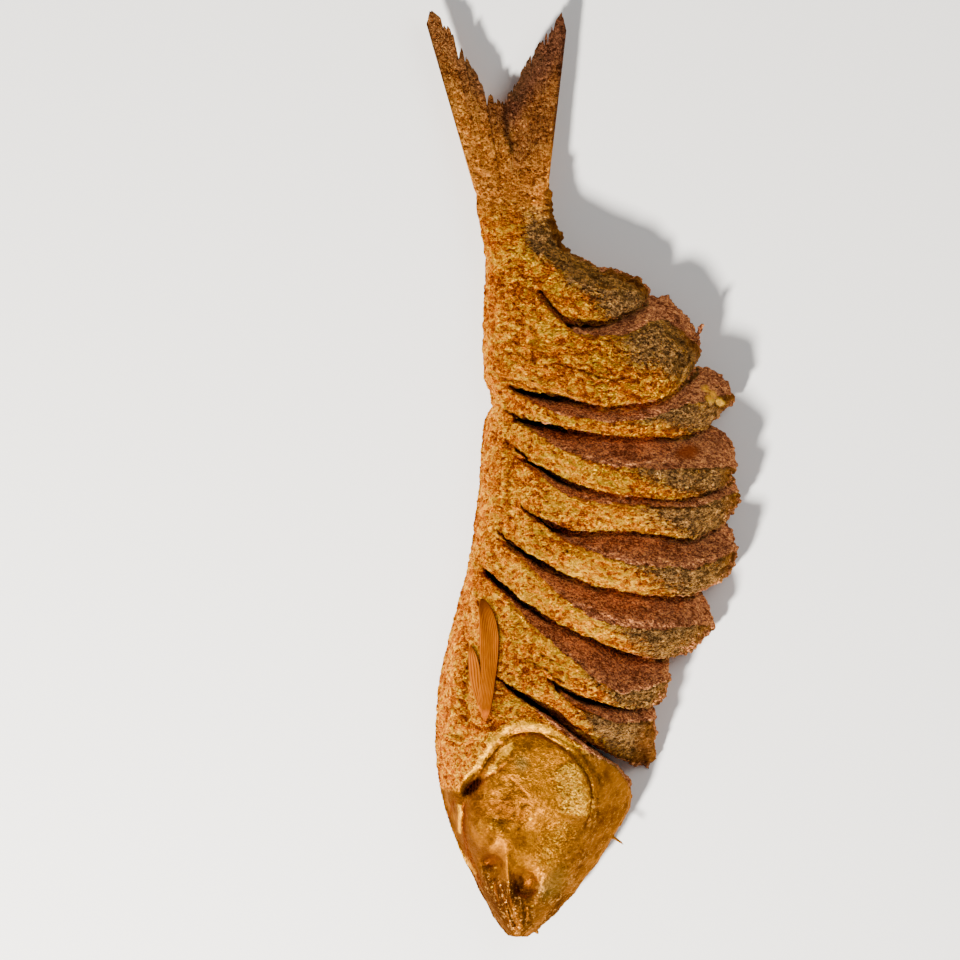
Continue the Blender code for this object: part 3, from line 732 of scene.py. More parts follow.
def band_mesh(name, points, quads, marks, low, high):
    """The part of the skin between two heights along Y, closed with caps."""
    margin = 2 * VOXEL_MM
    corner_y = points[quads, 1]
    kept = (corner_y.max(axis=1) > low - margin) & (corner_y.min(axis=1) < high + margin)
    used, renumbered = np.unique(quads[kept], return_inverse=True)
    mesh = quad_mesh(name, points[used], renumbered.reshape(-1, 4))
    set_marks(mesh, {mark: values[used] for mark, values in marks.items()})
    planes = []
    if low > points[:, 1].min():
        planes.append((low, 1))
    if high < points[:, 1].max():
        planes.append((high, -1))
    cut_and_capped(mesh, planes)
    return mesh


def body_pieces(material):
    points, quads = grown_skin(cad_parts["fish"], VOXEL_MM)
    points[:, :2] += DRAWING_CENTRE
    edges = edges_of(quads)
    points = relaxed(points, edges, SMOOTH_ROUNDS)
    normals = normals_of(points, quads)
    zone = zones(points, normals)
    shaped, lift = crisp_surface(points, normals, zone)
    marks = {name: zone[name] for name in MARKS}
    marks["lift"] = lift * 0.5 + 0.5
    shaped[:, :2] -= DRAWING_CENTRE
    shaped[:, 2] = np.maximum(shaped[:, 2], 0)
    heights = [points[:, 1].min() - 9, *BAND_CUTS_Y, STALK_CUT_Y]
    for name, low, high in zip(BAND_NAMES, heights, heights[1:]):
        add_piece(name, band_mesh(name, shaped, quads, marks, low, high), material)
    return shaped


def sheet_mesh(name, upper, lower, marks):
    """A closed thin mesh between two grids of points, with marks given on the grid."""
    rows, columns = upper.shape[:2]
    count = rows * columns
    grid = np.arange(count).reshape(rows, columns)
    near, right = grid[:-1, :-1].ravel(), grid[:-1, 1:].ravel()
    far, far_right = grid[1:, :-1].ravel(), grid[1:, 1:].ravel()
    top = np.stack([near, right, far_right, far], axis=1)
    bottom = np.stack([near, far, far_right, right], axis=1) + count
    border = np.concatenate([grid[0, :-1], grid[:-1, -1], grid[-1, :0:-1], grid[:0:-1, 0]])
    after = np.roll(border, -1)
    side = np.stack([border, border + count, after + count, after], axis=1)
    points = np.vstack([upper.reshape(-1, 3), lower.reshape(-1, 3)])
    points[:, :2] -= DRAWING_CENTRE
    mesh = quad_mesh(name, points, np.vstack([top, bottom, side]))
    set_marks(mesh, {mark: np.tile(values.ravel(), 2) for mark, values in marks.items()})
    return mesh


# Strips low inside the slits that go right through, painted black as the shade deep in a slit

THROUGH_SLITS = (6, 8)
SLIT_FLOOR_HIGH = 4.0
SLIT_FLOOR_LONG = 44
SLIT_FLOOR_THICK = 1.6
SLIT_FLOOR_MARGIN = 1.5


def slit_floor(k, material):
    """A strip that closes the bottom of a slit cut right through, hidden inside the body, painted near black
    as the shade deep in the slit.
    """
    start = SLITS[k].root[0]
    x = np.linspace(start + 1, min(TIPS[k], start + SLIT_FLOOR_LONG), 40)
    edge, rim = SLIT_EDGES[k](x), SLIT_RIMS[k](x)
    half = 0.5 * np.maximum(edge - rim, 0) + SLIT_FLOOR_MARGIN
    y = 0.5 * (edge + rim) + np.linspace(-1, 1, 5)[:, None] * half
    upper = np.stack([np.broadcast_to(x, y.shape), y, np.full(y.shape, SLIT_FLOOR_HIGH)], axis=-1)
    lower = upper - (0, 0, SLIT_FLOOR_THICK)
    # Painted shade: the strip is marked as cut flesh in full shade, so it takes the near-black colour
    marks = {"cut": np.ones(y.shape), "shade": np.ones(y.shape)}
    add_piece(f"slit_floor_{k}", sheet_mesh(f"slit_floor_{k}", upper, lower, marks), material)


# The tail fin, whose form is the part's, with fine rays and a torn rear edge

# Each point has its share of the way across the fin, and x and y in millimetres
TAIL_REAR_EDGE = (
    (0, -72, 206), (0.06, -70.5, 213), (0.12, -64, 208), (0.2, -56.5, 197), (0.3, -50.5, 186),
    (0.4, -45, 177), (0.5, -38, 170.5), (0.6, -32, 178), (0.7, -27, 188), (0.8, -21, 197), (0.9, -14, 206),
    (0.95, -10, 212), (1, -8, 203),
)
TAIL_SEED = 11
TAIL_BASE_Y = 121.0
TAIL_BASE_X = (-47.5, -17.5)
TAIL_HEIGHTS = (14.0, 11.5)
TAIL_THICKNESS = (5.0, 1.3)
TAIL_PLEATS = 6
TAIL_PLEAT_DEPTH = 0.6
TAIL_RAYS = 44
TAIL_RAYS_FORK = 0.45
TAIL_GRID = ((TAIL_RAYS * 8 + 1, 96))
TAIL_TUCK = 0.14
TAIL_BLEND = 1.2

# Tears in the rear edge: place and width as shares of the way across, and depth in millimetres
TAIL_TEARS = (
    (0.185, 0.010, 10.0), (0.235, 0.006, 4.5), (0.405, 0.010, 8.0), (0.53, 0.008, 2.5), (0.9, 0.006, 3.0),
)

# The groove and the grey margins, in photo pixels, and how ragged the rear edge is
TAIL_GROOVE = ((504, 92), (506, 101), (504, 110), (507, 119), (507, 128), (511, 138), (513, 150))
TAIL_MARGINS = (
    ((462, 40), (470, 55), (480, 72), (486, 90)),
    ((540, 42), (526, 58), (517, 78), (509, 96)),
)
RAGGED_MM = 2.6
NOTCH_MM = 4.5
NOTCH_WIDTH = 0.16


def tail_rear(share, rng):
    """How far the torn rear edge falls short of the whole one, for each share of the way across."""
    rays = np.clip((share * TAIL_RAYS).astype(int), 0, TAIL_RAYS - 1)
    ragged = rng.uniform(0, 1, TAIL_RAYS) ** 2 * RAGGED_MM
    notches = rng.uniform(0, 1, TAIL_RAYS + 1) ** 3 * NOTCH_MM
    within = share * TAIL_RAYS - rays
    gap = np.minimum(within, 1 - within)
    nearest_gap = np.round(share * TAIL_RAYS).astype(int)
    short = ragged[rays] + notches[nearest_gap] * fade(gap, NOTCH_WIDTH)
    for place, width, depth in TAIL_TEARS:
        short = short + depth * fade(share - place, width)
    return short * smooth_step(np.minimum(share, 1 - share) / 0.03)


def grid_of(columns, rows):
    """Shares from 0 to 1 across and along a sheet of the given fineness."""
    return np.meshgrid(np.linspace(0, 1, columns), np.linspace(0, 1, rows))


def flat_points(x, y):
    return np.stack([x.ravel(), y.ravel(), np.zeros(x.size)], axis=1)


def ridges(share, count, sharpness):
    """Rounded ridges from 0 to 1 across a fin, one for each ray."""
    return 1 - np.abs(2 * ((share * count) % 1) - 1) ** sharpness


def tail_outline(share, along):
    """The x and y of the fin's points, which fan out from the stalk to the torn rear edge."""
    shares, xs, ys = zip(*TAIL_REAR_EDGE)
    rear_x = np.interp(share, shares, xs)
    rear_y = np.interp(share, shares, ys) - tail_rear(share[0], np.random.default_rng(TAIL_SEED))
    base_x = TAIL_BASE_X[0] + (TAIL_BASE_X[1] - TAIL_BASE_X[0]) * share
    x = base_x + (rear_x - base_x) * along
    x = x - TAIL_TUCK * (x - sum(TAIL_BASE_X) / 2) * (1 - step_up(along, 0, 0.12))
    return x, TAIL_BASE_Y + (rear_y - TAIL_BASE_Y) * along


def tail_fin(skin_points, material):
    share, along = grid_of(*TAIL_GRID)
    x, y = tail_outline(share, along)
    flat = flat_points(x, y)

    def on_fin(values):
        return values.reshape(x.shape)

    pleat = TAIL_PLEAT_DEPTH * np.sin(share * TAIL_PLEATS * 2 * math.pi) * np.minimum(1, along * 2)
    middle = TAIL_HEIGHTS[0] + (TAIL_HEIGHTS[1] - TAIL_HEIGHTS[0]) * along + pleat
    side = 4 * share * (1 - share)
    rim = np.sqrt(np.clip(side * 6, 0.02, 1))
    thick = TAIL_THICKNESS[0] + (TAIL_THICKNESS[1] - TAIL_THICKNESS[0]) * np.minimum(1, along * 1.6)
    half = 0.5 * rim * thick + 0.12
    ray = ridges(share, TAIL_RAYS * (1 + (along > TAIL_RAYS_FORK)), 1.6)
    inside, plate, tilted = cells(flat, 1.9, 51)
    mottle = on_fin(0.25 * inside + 0.3 * plate + 0.9 * tilted + 0.4 * rough(flat, 3.0, 55, 2))
    fibre = on_fin(noise(flat * (1, 0.8, 1), 1.1, 61))
    groove = on_fin(stroke(flat[:, :2], TAIL_GROOVE, 1.7))
    edge = 1 - step_up(side, 0, 0.16)
    relief = 0.1 * ray * step_up(along, 0, 0.4) + 0.5 * mottle + 0.16 * fibre
    relief = relief + 0.5 * edge * rim - 1.1 * groove
    crumple = 0.5 * on_fin(rough(flat, 9.0, 65, 2)) * step_up(along, 0, 0.5)
    skin_top = SkyMap(skin_points, FIN_SKY_CELL_MM, 4).at(x - DRAWING_CENTRE[0], y - DRAWING_CENTRE[1])
    fin_top = middle + half
    blended = 0.5 * (fin_top + skin_top + np.sqrt((fin_top - skin_top) ** 2 + TAIL_BLEND**2))
    start = 1 - smooth_step((along + 0.03 * on_fin(noise(flat, 6.0, 67))) / 0.13)
    upper = np.stack([x, y, blended + relief - 0.3 + crumple - 1.1 * start], axis=2)
    lower = np.stack([x, y, middle - half - 0.2 * ray - 0.25 * mottle + crumple], axis=2)
    margins = on_fin(drawn(flat[:, :2], [(1.0, line, 5.0) for line in TAIL_MARGINS]))
    marks = {
        "ray": ray,
        "edge": edge,
        # Painted shade along the groove between the lobes
        "stain_and_crease_shade": groove,
        "grey": np.clip(margins, 0, 1) * step_up(along, 0.4, 0.4),
        "along": along,
        "right": step_up(share, 0.45, 0.15),
        # Raised places, which the fin's material paints lighter, as painted light
        "lift": 0.5 + 0.5 * np.clip(1.2 * mottle - 0.35 + 0.2 * fibre, -1, 1),
        "stalk": np.ones_like(x),
        "near_fin": step_up(y, 112, 16),
    }
    add_piece("tail_fin", sheet_mesh("tail_fin", upper, lower, marks), material)


# The breast fin, two thin leaves of rays that lie on the belly

LEAF_GAP = 0.9
LEAF_THICK = 0.5
LEAF_DEEP = 1.1
LEAF_SINK = 1.6
LEAVES = {
    "breast_fin": (
        ((725, 483.5, 485.5), (712, 480.5, 490.5), (700, 477.5, 493), (685, 479, 495), (670, 480.5, 497),
         (655, 479.5, 498.5), (640, 479.5, 499), (625, 479, 497), (612, 478.5, 493), (604, 479, 488),
         (600, 481, 484)),
        10,
    ),
    "breast_fin_leaflet": (
        ((714, 480, 484), (700, 475, 482), (685, 470.5, 481), (672, 468.5, 480.5), (660, 468, 478),
         (653, 468.5, 475), (647, 470, 471.5)),
        4,
    ),
}


def leaf(name, outline, rays, sky, material):
    """One thin leaf of a fin. The outline gives (photo y, left x, right x) from its root to its tip."""
    pixel_y, left, right = np.array(outline, float).T
    order = np.argsort(pixel_y)
    share, along = grid_of(rays * 8 + 1, 110)
    py = pixel_y[0] + (pixel_y[-1] - pixel_y[0]) * along
    row_left = through(*zip(pixel_y[order], left[order]))(py)
    row_right = through(*zip(pixel_y[order], right[order]))(py)
    px = row_left + (row_right - row_left) * share
    x, y = from_pixel(px, py)
    flat = flat_points(x, y)
    ray = ridges(share, rays, 1.5)
    grain = rough(flat * (1, 0.4, 1), 1.2, 71, 2).reshape(x.shape)
    side = np.sqrt(np.clip(16 * share * (1 - share), 0, 1))
    sink = LEAF_SINK * (1 - step_up(along, 0, 0.12))
    base = sky.at(x - DRAWING_CENTRE[0], y - DRAWING_CENTRE[1]) + LEAF_GAP - sink
    top = base + side * LEAF_THICK + 0.28 * ray * side + 0.08 * grain
    upper = np.stack([x, y, top], axis=2)
    lower = np.stack([x, y, base - LEAF_DEEP], axis=2)
    marks = {"ray": ray, "edge": 1 - side, "along": along}
    add_piece(name, sheet_mesh(name, upper, lower, marks), material)


def breast_fin(skin_points, material):
    sky = SkyMap(skin_points, FIN_SKY_CELL_MM, 2)
    for name, (outline, rays) in LEAVES.items():
        leaf(name, outline, rays, sky, material)


# Materials

class Shader:
    """Adds a material's nodes and joins them. Texture places are in millimetres on the fish."""

    def __init__(self, name):
        self.material = bpy.data.materials.new(name)
        self.material.use_nodes = True
        self.tree = self.material.node_tree
        self.surface = self.tree.nodes["Principled BSDF"]
        coordinates = self.node("TexCoord").outputs["Object"]
        self.place = self.vector("MULTIPLY", coordinates, (1 / MM,) * 3)

    def node(self, kind, inputs=None, **settings):
        node = self.tree.nodes.new("ShaderNode" + kind)
        for name, value in settings.items():
            setattr(node, name, value)
        self.feed(node, inputs or {})
        return node

    def feed(self, node, inputs):
        """Sets inputs to numbers or colours, or joins them to sockets or to marks, given by name."""
        for key, value in inputs.items():
            socket = node.inputs[key]
            if isinstance(value, str):
                value = self.node("Attribute", attribute_name=value).outputs["Fac"]
            if isinstance(value, bpy.types.NodeSocket):
                self.tree.links.new(value, socket)
            elif socket.type == "RGBA":
                socket.default_value = (*value, 1)
            else:
                socket.default_value = value

    def noise(self, size, stretch=(1, 1, 1), detail=3.0, lean=0.0):
        """Noise from 0 to 1 with lumps of about `size` millimetres."""
        place = self.vector("MULTIPLY", self.place, stretch)
        inputs = {"Vector": place, "Scale": 1 / size, "Detail": detail, "Distortion": lean}
        return self.node("TexNoise", inputs).outputs["Fac"]

    def facets(self, size):
        """Irregular flakes of about `size` millimetres: their numbers, tilted heights and domes."""
        noise = self.node("TexNoise", {"Vector": self.place, "Scale": 0.8 / size})
        bent = self.vector("MULTIPLY_ADD", noise.outputs["Color"], (FLAKE_WAVER * size,) * 3, self.place)
        place = self.vector("MULTIPLY", bent, tuple(SCALE_STRETCH / size))
        node = self.node("TexVoronoi", {"Vector": place, "Scale": 1.0})
        offset = self.vector("SUBTRACT", node.outputs["Position"], place)
        slope = self.vector("SUBTRACT", tuple(0.5 + CELL_LEAN), node.outputs["Color"])
        tilted = self.node("VectorMath", {0: offset, 1: slope}, operation="DOT_PRODUCT")
        number = self.node("SeparateColor", {0: node.outputs["Color"]})
        dome = self.less(self.spread(node.outputs["Distance"], 0.1, 0.5))
        return number.outputs[0], tilted.outputs["Value"], dome

    def wrinkles(self, size):
        """Thin winding ridges, 1 on each ridge, about `size` millimetres apart."""
        off_middle = self.total(-1.0, (self.noise(size, SCALE_STRETCH, 3.0, 1.5), 2.0))
        return self.less(self.spread(self.math("ABSOLUTE", off_middle), 0.0, 0.24))

    def vector(self, kind, *values):
        return self.node("VectorMath", dict(enumerate(values)), operation=kind).outputs[0]

    def math(self, kind, *values):
        return self.node("Math", dict(enumerate(values)), operation=kind).outputs[0]

    def total(self, start, *parts):
        """The start and each (value, weight) part, added up."""
        for value, weight in parts:
            start = self.math("MULTIPLY_ADD", value, weight, start)
        return start

    def times(self, product, *factors):
        for factor in factors:
            product = self.math("MULTIPLY", product, factor)
        return product

    def less(self, value):
        """What is left of 1 without the value."""
        return self.math("SUBTRACT", 1.0, value)

    def spread(self, value, low, high):
        """The value stretched so that low becomes 0 and high becomes 1, and held between them."""
        inputs = {"Value": value, "From Min": low, "From Max": high}
        return self.node("MapRange", inputs, interpolation_type="SMOOTHSTEP").outputs["Result"]

    def frayed(self, mark, wander, low, high):
        """A mark whose border wanders."""
        return self.spread(self.math("ADD", mark, wander), low, high)

    def blend(self, share, a, b):
        return self.node("Mix", {0: share, 6: a, 7: b}, data_type="RGBA").outputs[2]

    def layered(self, colour, *layers):
        """The colour with (share, colour) layers over it, the last on top."""
        for share, layer in layers:
            colour = self.blend(share, colour, layer)
        return colour

    def ramp(self, value, *stops):
        """A colour ramp through (place, colour) stops."""
        node = self.node("ValToRGB", {"Fac": value})
        elements = node.color_ramp.elements
        while len(elements) < len(stops):
            elements.new(0.5)
        for element, (place, colour) in zip(elements, stops):
            element.position = place
            element.color = (*colour, 1)
        return node.outputs["Color"]

    def finish(self, colour, roughness, metallic, specular):
        """Gives the surface its colour and an oily gloss in the tint of frying oil."""
        inputs = {"Base Color": colour, "Roughness": roughness, "Metallic": metallic}
        self.feed(self.surface, {**inputs, "Specular IOR Level": specular, "Specular Tint": OIL_TINT})

    def bump(self, height, millimetres, strength=1.0):
        inputs = {"Distance": millimetres * MM, "Strength": strength, "Height": height}
        self.feed(self.surface, {"Normal": self.node("Bump", inputs).outputs["Normal"]})


def scaly_shader(name):
    """A shader with flakes, chips and specks."""
    shader = Shader(name)
    sizes = (FLAKE_MM, CHIP_MM, SPECK_MM)
    shader.flakes, shader.chips, shader.specks = (shader.facets(size) for size in sizes)
    return shader


# Colours, in the renderer's linear red, green and blue

CRACKLE = (0.19, 0.031, 0.0002)
DEEP_ORANGE = (0.46, 0.1, 0.00022)
GOLDEN = (0.69, 0.21, 0.00032)
YELLOW = (0.86, 0.330, 0.0010)
PALE_GOLD = (1.0, 0.56, 0.018)
OLIVE_DARK = (0.052, 0.021, 0.0055)
OLIVE = (0.12, 0.062, 0.022)
OLIVE_BRIGHT = (0.22, 0.12, 0.044)
OLIVE_GOLD = (0.51, 0.24, 0.064)
COPPER_DARK = (0.11, 0.028, 0.006)
COPPER = (0.39, 0.12, 0.016)
COPPER_WARM = (0.56, 0.18, 0.018)
COPPER_PALE = (0.95, 0.42, 0.06)
FIN_DARK = (0.030, 0.007, 0.003)
FIN_BROWN = (0.095, 0.028, 0.012)
FIN_PALE = (0.28, 0.105, 0.048)
FIN_MARGIN = (0.15, 0.070, 0.028)
FLESH_DARK = (0.19, 0.053, 0.02)
FLESH = (0.53, 0.22, 0.1)
FLESH_PALE = (1.0, 0.50, 0.16)
# Near black: painted shade deep in the slits and in the gill's hole and slot, and the colour of a real black
# speck
CHAR_AND_SHADE_BLACK = (0.020, 0.003, 0.0006)
CRUST = (0.15, 0.045, 0.008)
AMBER_DARK = (0.085, 0.024, 0.0003)
AMBER = (0.24, 0.078, 0.0003)
AMBER_BRIGHT = (0.38, 0.134, 0.0005)
# Light amber of the painted highlights on the head, also used for its pale bones and flecks
AMBER_GLOW = (0.90, 0.42, 0.008)
BROWN_DARK = (0.035, 0.008, 0.0005)
BROWN = (0.061, 0.017, 0.00068)
BROWN_PALE = (0.18, 0.06, 0.0064)
GOLD_BASE = (0.62, 0.26, 0.01)
BONE = (1.0, 0.56, 0.04)
GREY_GREEN = (0.22, 0.12, 0.023)
BROWN_RED = (0.10, 0.016, 0.001)
BLOOD_RED = (0.39, 0.079, 0.011)
UNDERSIDE = (0.29, 0.079, 0.0038)
LEAF_DARK = (0.17, 0.034, 0.00028)
LEAF_BROWN = (0.3, 0.067, 0.00034)
LEAF_PALE = (0.48, 0.14, 0.0016)
OIL_TINT = (1.0, 0.62, 0.16)
COPPERS = ((0.10, COPPER_DARK), (0.36, COPPER), (0.62, COPPER_WARM), (0.92, COPPER_PALE))
FIN_COPPERS = ((0.08, COPPER_DARK), (0.38, COPPER), (0.64, COPPER_WARM), (0.94, COPPER_PALE))
GOLDS = ((0.06, CRACKLE), (0.26, DEEP_ORANGE), (0.48, GOLDEN), (0.68, YELLOW), (0.84, PALE_GOLD))
OLIVES = ((0.12, OLIVE_DARK), (0.42, OLIVE), (0.68, OLIVE_BRIGHT), (0.94, OLIVE_GOLD))
AMBERS = ((0.05, AMBER_DARK), (0.5, AMBER), (0.95, AMBER_BRIGHT))
BROWNS = ((0.1, BROWN_DARK), (0.5, BROWN), (0.95, BROWN_PALE))
FLESHES = ((0.10, FLESH_DARK), (0.50, FLESH), (0.95, FLESH_PALE))
FIN_BROWNS = ((0.08, FIN_DARK), (0.50, FIN_BROWN), (0.92, FIN_PALE))
LEAF_BROWNS = ((0.05, LEAF_DARK), (0.5, LEAF_BROWN), (1.0, LEAF_PALE))


def skin_colour(shader):
    """Scaly flank and belly: golden flanks, red-brown cracks, olive towards the back; painted highlights on
    raised tops, leaning flakes, bands and rims, glints on flakes, and painted shade in hollows.
    """
    patches = shader.noise(12, (0.6, 1, 0.8), 3)
    fine = shader.noise(1.1, (0.7, 1, 0.8), 4, 1.0)
    flakes, leaning, dome = shader.flakes
    chips, specks = shader.chips[0], shader.specks[0]
    # Painted glints in the middle of the brighter flakes
    painted_glints = shader.times(dome, shader.spread(flakes, 0.35, 0.75))
    # Flakes that lean towards the key light are painted lighter, as painted highlight
    plates = shader.total(0.0, (flakes, 0.5), (leaning, 0.6))
    # Raised places ("lift") are painted lighter and hollows darker, and the marked bands lighter: painted
    # light
    brightness = shader.total(
        patches, ("lift", 0.8), (plates, shader.less("stalk")), (painted_glints, 0.5), (chips, 0.5), (fine, 0.4),
        (shader.wrinkles(2.4), 0.2), ("stalk", 0.35), ("band_highlight", 0.35), (specks, 0.65),
    )
    level = shader.spread(brightness, 1.15, 2.9)
    hair = shader.noise(0.6, (0.5, 1.5, 1), 3.0, 2.0)
    olive = shader.ramp(shader.total(-0.9, (hair, 1.8), (specks, 0.35), (level, 0.65)), *OLIVES)
    wander = shader.total(-0.85, (patches, 0.9), (fine, 0.8), (chips, -0.25))
    back = shader.frayed("back", wander, 0.05, 0.8)
    rim = shader.spread("rim", 0.3, 1.0)
    return shader.layered(
        shader.ramp(level, *GOLDS),
        (shader.times(shader.wrinkles(3.6), 0.5), CRACKLE),
        (shader.total(0.0, ("stalk", 0.6), ("near_fin", 0.4)), shader.ramp(level, *COPPERS)),
        (back, olive),
        # Painted highlight along the rims of the slices
        (shader.times(rim, 0.5, shader.less(back)), PALE_GOLD),
        (shader.times("lip", 0.45), AMBER_DARK),
        (shader.times(shader.frayed("crust", wander, 0.2, 0.9), 0.8), CRUST),
    )


def skin_height(shader):
    """Millimetres of fine relief: leaning flakes, smaller chips, wrinkles and grain."""
    _, leaning, dome = shader.flakes
    return shader.total(
        0.0, (shader.noise(0.9, (0.8, 1, 1), 4, 0.5), 0.5), (leaning, 1.4), (shader.chips[1], 0.8),
        (shader.specks[1], 0.5), (dome, 0.35), (shader.wrinkles(3.6), -0.3), (shader.wrinkles(2.4), 0.35),
    )


def flesh_colour(shader):
    """Fuzzy fried flesh of the cut faces, with painted shade that turns it near black deep in the slits and
    under the overhanging edges.
    """
    fibres = shader.noise(0.9, (0.8, 1, 0.7), 4, 1.2)
    patches = shader.noise(8, detail=2)
    # Raised places are painted lighter ("lift"), as painted light
    brightness = shader.total(
        fibres, (patches, 0.5), ("lift", 0.4), (shader.chips[0], 0.2), (shader.specks[0], 0.45)
    )
    flesh = shader.ramp(shader.spread(brightness, 0.85, 1.8), *FLESHES)
    # Painted shade: the flesh is blended to near black where it is marked as shaded
    return shader.blend(shader.spread("shade", 0.2, 0.9), flesh, CHAR_AND_SHADE_BLACK)


def head_colour(shader):
    """Glossy amber skin of the head with gold grains, browner at the back and the snout, with painted shade
    in its hollows, on its creases and towards its belly side, and painted highlights on its ridges.
    """
    patches = shader.noise(9, lean=0.6)
    streaks = shader.noise(2.4, (1, 0.45, 1), 4, 1.0)
    specks = shader.specks[0]
    # Painted light: the amber is lighter on raised places, and painted shade darkens it where marked and on
    # the belly side
    level = shader.total(
        patches, (streaks, 0.3), (specks, 0.1), ("lift", 0.2), ("deep", -0.28), ("facing", -0.3)
    )
    amber = shader.ramp(shader.spread(level, 0.22, 1.0), *AMBERS)
    brown = shader.ramp(shader.spread(level, 0.42, 1.0), *BROWNS)
    grains = shader.total(streaks, (specks, 0.5))
    brown = shader.blend(shader.times(shader.spread(grains, 0.9, 1.1), 0.7), brown, OLIVE_GOLD)
    wander = shader.total(-0.45, (patches, 0.9))
    back = shader.times(shader.frayed("back", wander, 0.35, 0.85), 0.6)
    # Brown at the back and the snout, and painted shade on the back edge of the face and under the gill's
    # lip
    browned_and_shaded = shader.math("MAXIMUM", back, shader.frayed("dim", wander, 0.1, 0.9))
    browned_and_shaded = shader.math("MAXIMUM", browned_and_shaded, shader.frayed("snout", wander, 0.0, 0.8))
    speck = shader.spread(shader.total(specks, ("gold", 0.6), (streaks, 0.5)), 0.9, 1.45)
    return shader.layered(
        amber,
        (shader.times(browned_and_shaded, 0.9), brown),
        (shader.frayed("gold", wander, 0.2, 1.2), GOLD_BASE),
        (shader.times(speck, shader.spread("gold", 0.0, 0.9)), BONE),
        # Painted highlights, and the pale bones and flecks
        (shader.frayed("highlight_and_pale_bits", shader.total(-0.7, (grains, 0.9)), 0.25, 1.1), AMBER_GLOW),
    )


def fried_skin_material():
    shader = scaly_shader("fried_skin")
    fray = shader.total(-0.45, (shader.noise(1.3), 0.9))
    colour = shader.layered(
        skin_colour(shader),
        ("head", head_colour(shader)),
        (shader.frayed("cut", fray, 0.3, 0.7), flesh_colour(shader)),
        (shader.times("grey", 0.75), GREY_GREEN),
        (shader.times("gold", shader.less("head")), BONE),
        (shader.times("red", 0.8), BLOOD_RED),
        # Dark red-brown painted shade in the grooves, cracks, folds, pits and hollows
        (shader.times("stain_and_crease_shade", 0.85), BROWN_RED),
        # Black as painted shade in the gill's hole and slot, and for one real black speck
        ("hole_shade_and_speck", CHAR_AND_SHADE_BLACK),
        (shader.times("under", 0.7), UNDERSIDE),
    )
    dull = shader.total(0.47, (shader.flakes[0], -0.16), ("cut", 0.4), ("head", 0.02), ("crust", 0.15))
    shader.finish(colour, shader.math("MINIMUM", dull, 0.85), 0.85, 0.15)
    smooth = shader.total(1.0, ("head", -0.8), ("gold", 1.2))
    shader.bump(shader.times(skin_height(shader), smooth), 1.0)
    return shader.material


def fin_material():
    """Coppery fin membrane over rays, like the skin at the base, greyer at the thin torn margins."""
    shader = scaly_shader("fried_fin")
    fine = shader.noise(0.9, (1, 0.6, 1), 4, 0.8)
    patches = shader.noise(9, (1, 0.7, 1), 3)
    chips, tilted, _ = shader.chips
    brightness = shader.total(
        0.25,
        ("lift", 0.6), (patches, 0.8), (fine, 0.9), (chips, 0.25), (shader.specks[0], 0.5), ("ray", 0.1),
    )
    level = shader.spread(brightness, 0.9, 2.25)
    tip = shader.times(shader.spread("along", 0.3, 0.9), 0.75, shader.total(1.0, ("right", 0.4)))
    darker = shader.math("MINIMUM", shader.math("MAXIMUM", shader.times("right", 0.65), tip), 1.0)
    base = shader.less(shader.spread("along", 0.1, 0.45))
    colour = shader.layered(
        shader.ramp(level, *FIN_COPPERS),
        (shader.times(darker, shader.total(1.0, (base, -0.8))), shader.ramp(level, *FIN_BROWNS)),
        (shader.times("grey", 0.6), FIN_MARGIN),
        (shader.times("edge", 0.75), FIN_DARK),
        # The groove between the lobes darkened as painted shade
        (shader.times("stain_and_crease_shade", 0.8), FIN_DARK),
        (base, skin_colour(shader)),
    )
    shader.finish(colour, shader.total(0.3, (chips, 0.25)), 0.8, 0.15)
    fin_height = shader.total(0.0, (fine, 0.8), (tilted, 0.7), (shader.specks[1], 0.5))
    fin_height = shader.times(fin_height, shader.less(base))
    shader.bump(shader.total(fin_height, (skin_height(shader), base)), 1.0)
    return shader.material


def leaf_material():
    """Smooth golden-brown rays of the breast fin, darker and redder at the tip and the side edges."""
    shader = Shader("fried_leaf")
    streaks = shader.noise(1.0, (1.4, 0.12, 1), 3)
    brightness = shader.total(0.0, ("ray", 0.5), (streaks, 0.55))
    tip = shader.spread("along", 0.82, 0.98)
    colour = shader.layered(
        shader.ramp(shader.spread(brightness, 0.1, 0.95), *LEAF_BROWNS),
        (shader.times(tip, 0.7), BROWN_RED),
        (shader.times("edge", 0.35), LEAF_DARK),
    )
    shader.finish(colour, 0.5, 0.75, 0.1)
    shader.bump(shader.noise(0.45, (1, 0.3, 1), 3), 0.12, 0.5)
    return shader.material


def floor_material():
    shader = Shader("pale_floor")
    shader.feed(shader.surface, {"Base Color": (FLOOR_GREY,) * 3, "Roughness": FLOOR_ROUGHNESS})
    return shader.material


# Floor, light and camera

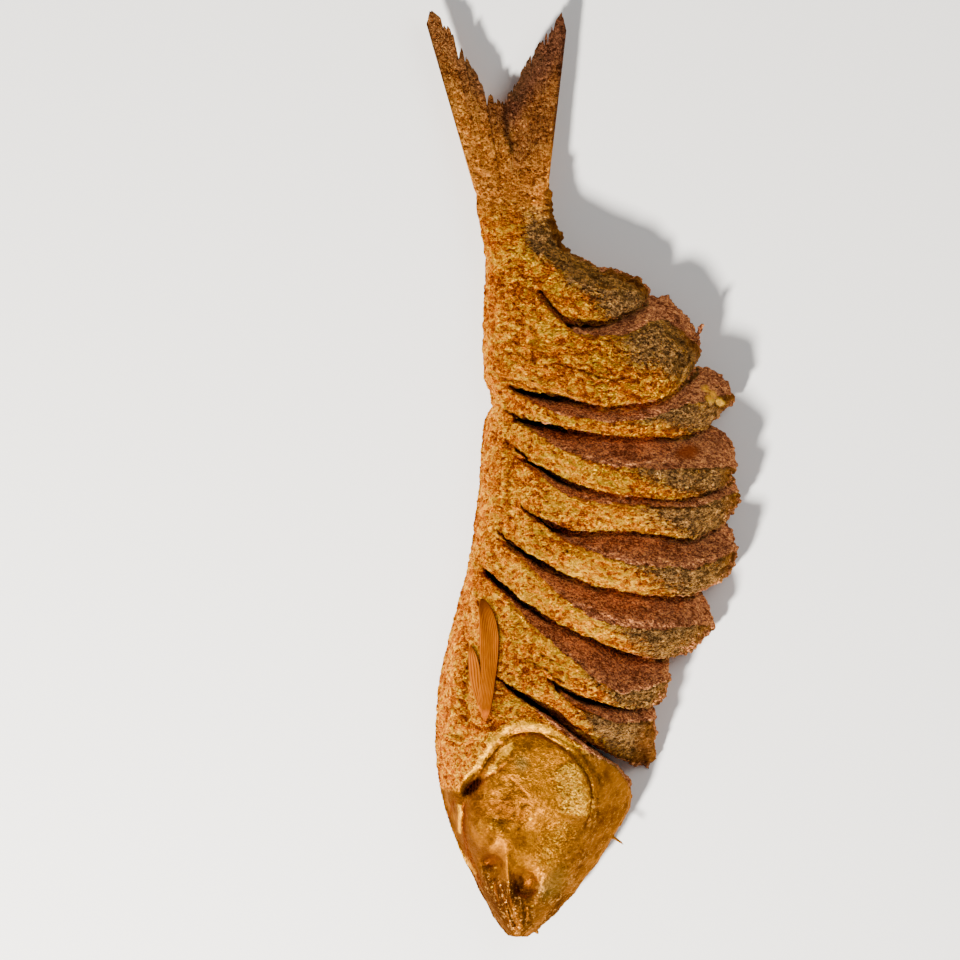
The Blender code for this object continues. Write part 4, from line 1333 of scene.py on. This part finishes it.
VIEW_MM = 440.0
CAMERA_HEIGHT_MM = 3500.0
VIEW_MIDDLE = (480, 480)
SENSOR_MM = 36.0
FLOOR_HALF = 4.0
FLOOR_GREY = 0.93
FLOOR_ROUGHNESS = 0.9
LIGHT_TARGET = (0, 0, 0.02)
LIGHTS = {
    "key": ((-0.70, -0.96, 0.98), 0.2, 108, (1.0, 0.95, 0.87)),
    "fill": ((0.9, 0.7, 1.3), 1.2, 13, (1.0, 0.97, 0.93)),
}
SKY_STRENGTH = 0.2


def add_floor():
    mesh = bpy.data.meshes.new("floor")
    shape = bmesh.new()
    bmesh.ops.create_grid(shape, x_segments=1, y_segments=1, size=FLOOR_HALF)
    shape.to_mesh(mesh)
    shape.free()
    floor = add_object("floor", mesh)
    mesh.materials.append(floor_material())


def add_area_light(name, place, size, power, colour):
    light = bpy.data.lights.new(name, "AREA")
    light.shape = "DISK"
    light.size = size
    light.energy = power
    light.color = colour
    lamp = add_object(name, light)
    lamp.location = place
    lamp.rotation_euler = (Vector(LIGHT_TARGET) - Vector(place)).to_track_quat("-Z", "Y").to_euler()


def add_lights():
    for name, light in LIGHTS.items():
        add_area_light(name, *light)
    world = bpy.data.worlds.new("studio")
    bpy.context.scene.world = world
    world.use_nodes = True
    background = world.node_tree.nodes["Background"]
    background.inputs["Color"].default_value = (1.0, 1.0, 1.0, 1)
    background.inputs["Strength"].default_value = SKY_STRENGTH


def add_camera():
    camera = bpy.data.cameras.new("camera")
    camera.sensor_width = SENSOR_MM
    camera.lens = SENSOR_MM * CAMERA_HEIGHT_MM / VIEW_MM
    camera.clip_start = 0.1
    camera.clip_end = 20
    holder = add_object("camera", camera)
    x, y = from_photo([VIEW_MIDDLE])[0]
    holder.location = ((x - DRAWING_CENTRE[0]) * MM, (y - DRAWING_CENTRE[1]) * MM, CAMERA_HEIGHT_MM * MM)
    bpy.context.scene.camera = holder


def main():
    skin_material = fried_skin_material()
    skin_points = body_pieces(skin_material)
    for k in THROUGH_SLITS:
        slit_floor(k, skin_material)
    tail_fin(skin_points, fin_material())
    breast_fin(skin_points, leaf_material())
    add_floor()
    add_lights()
    add_camera()


main()
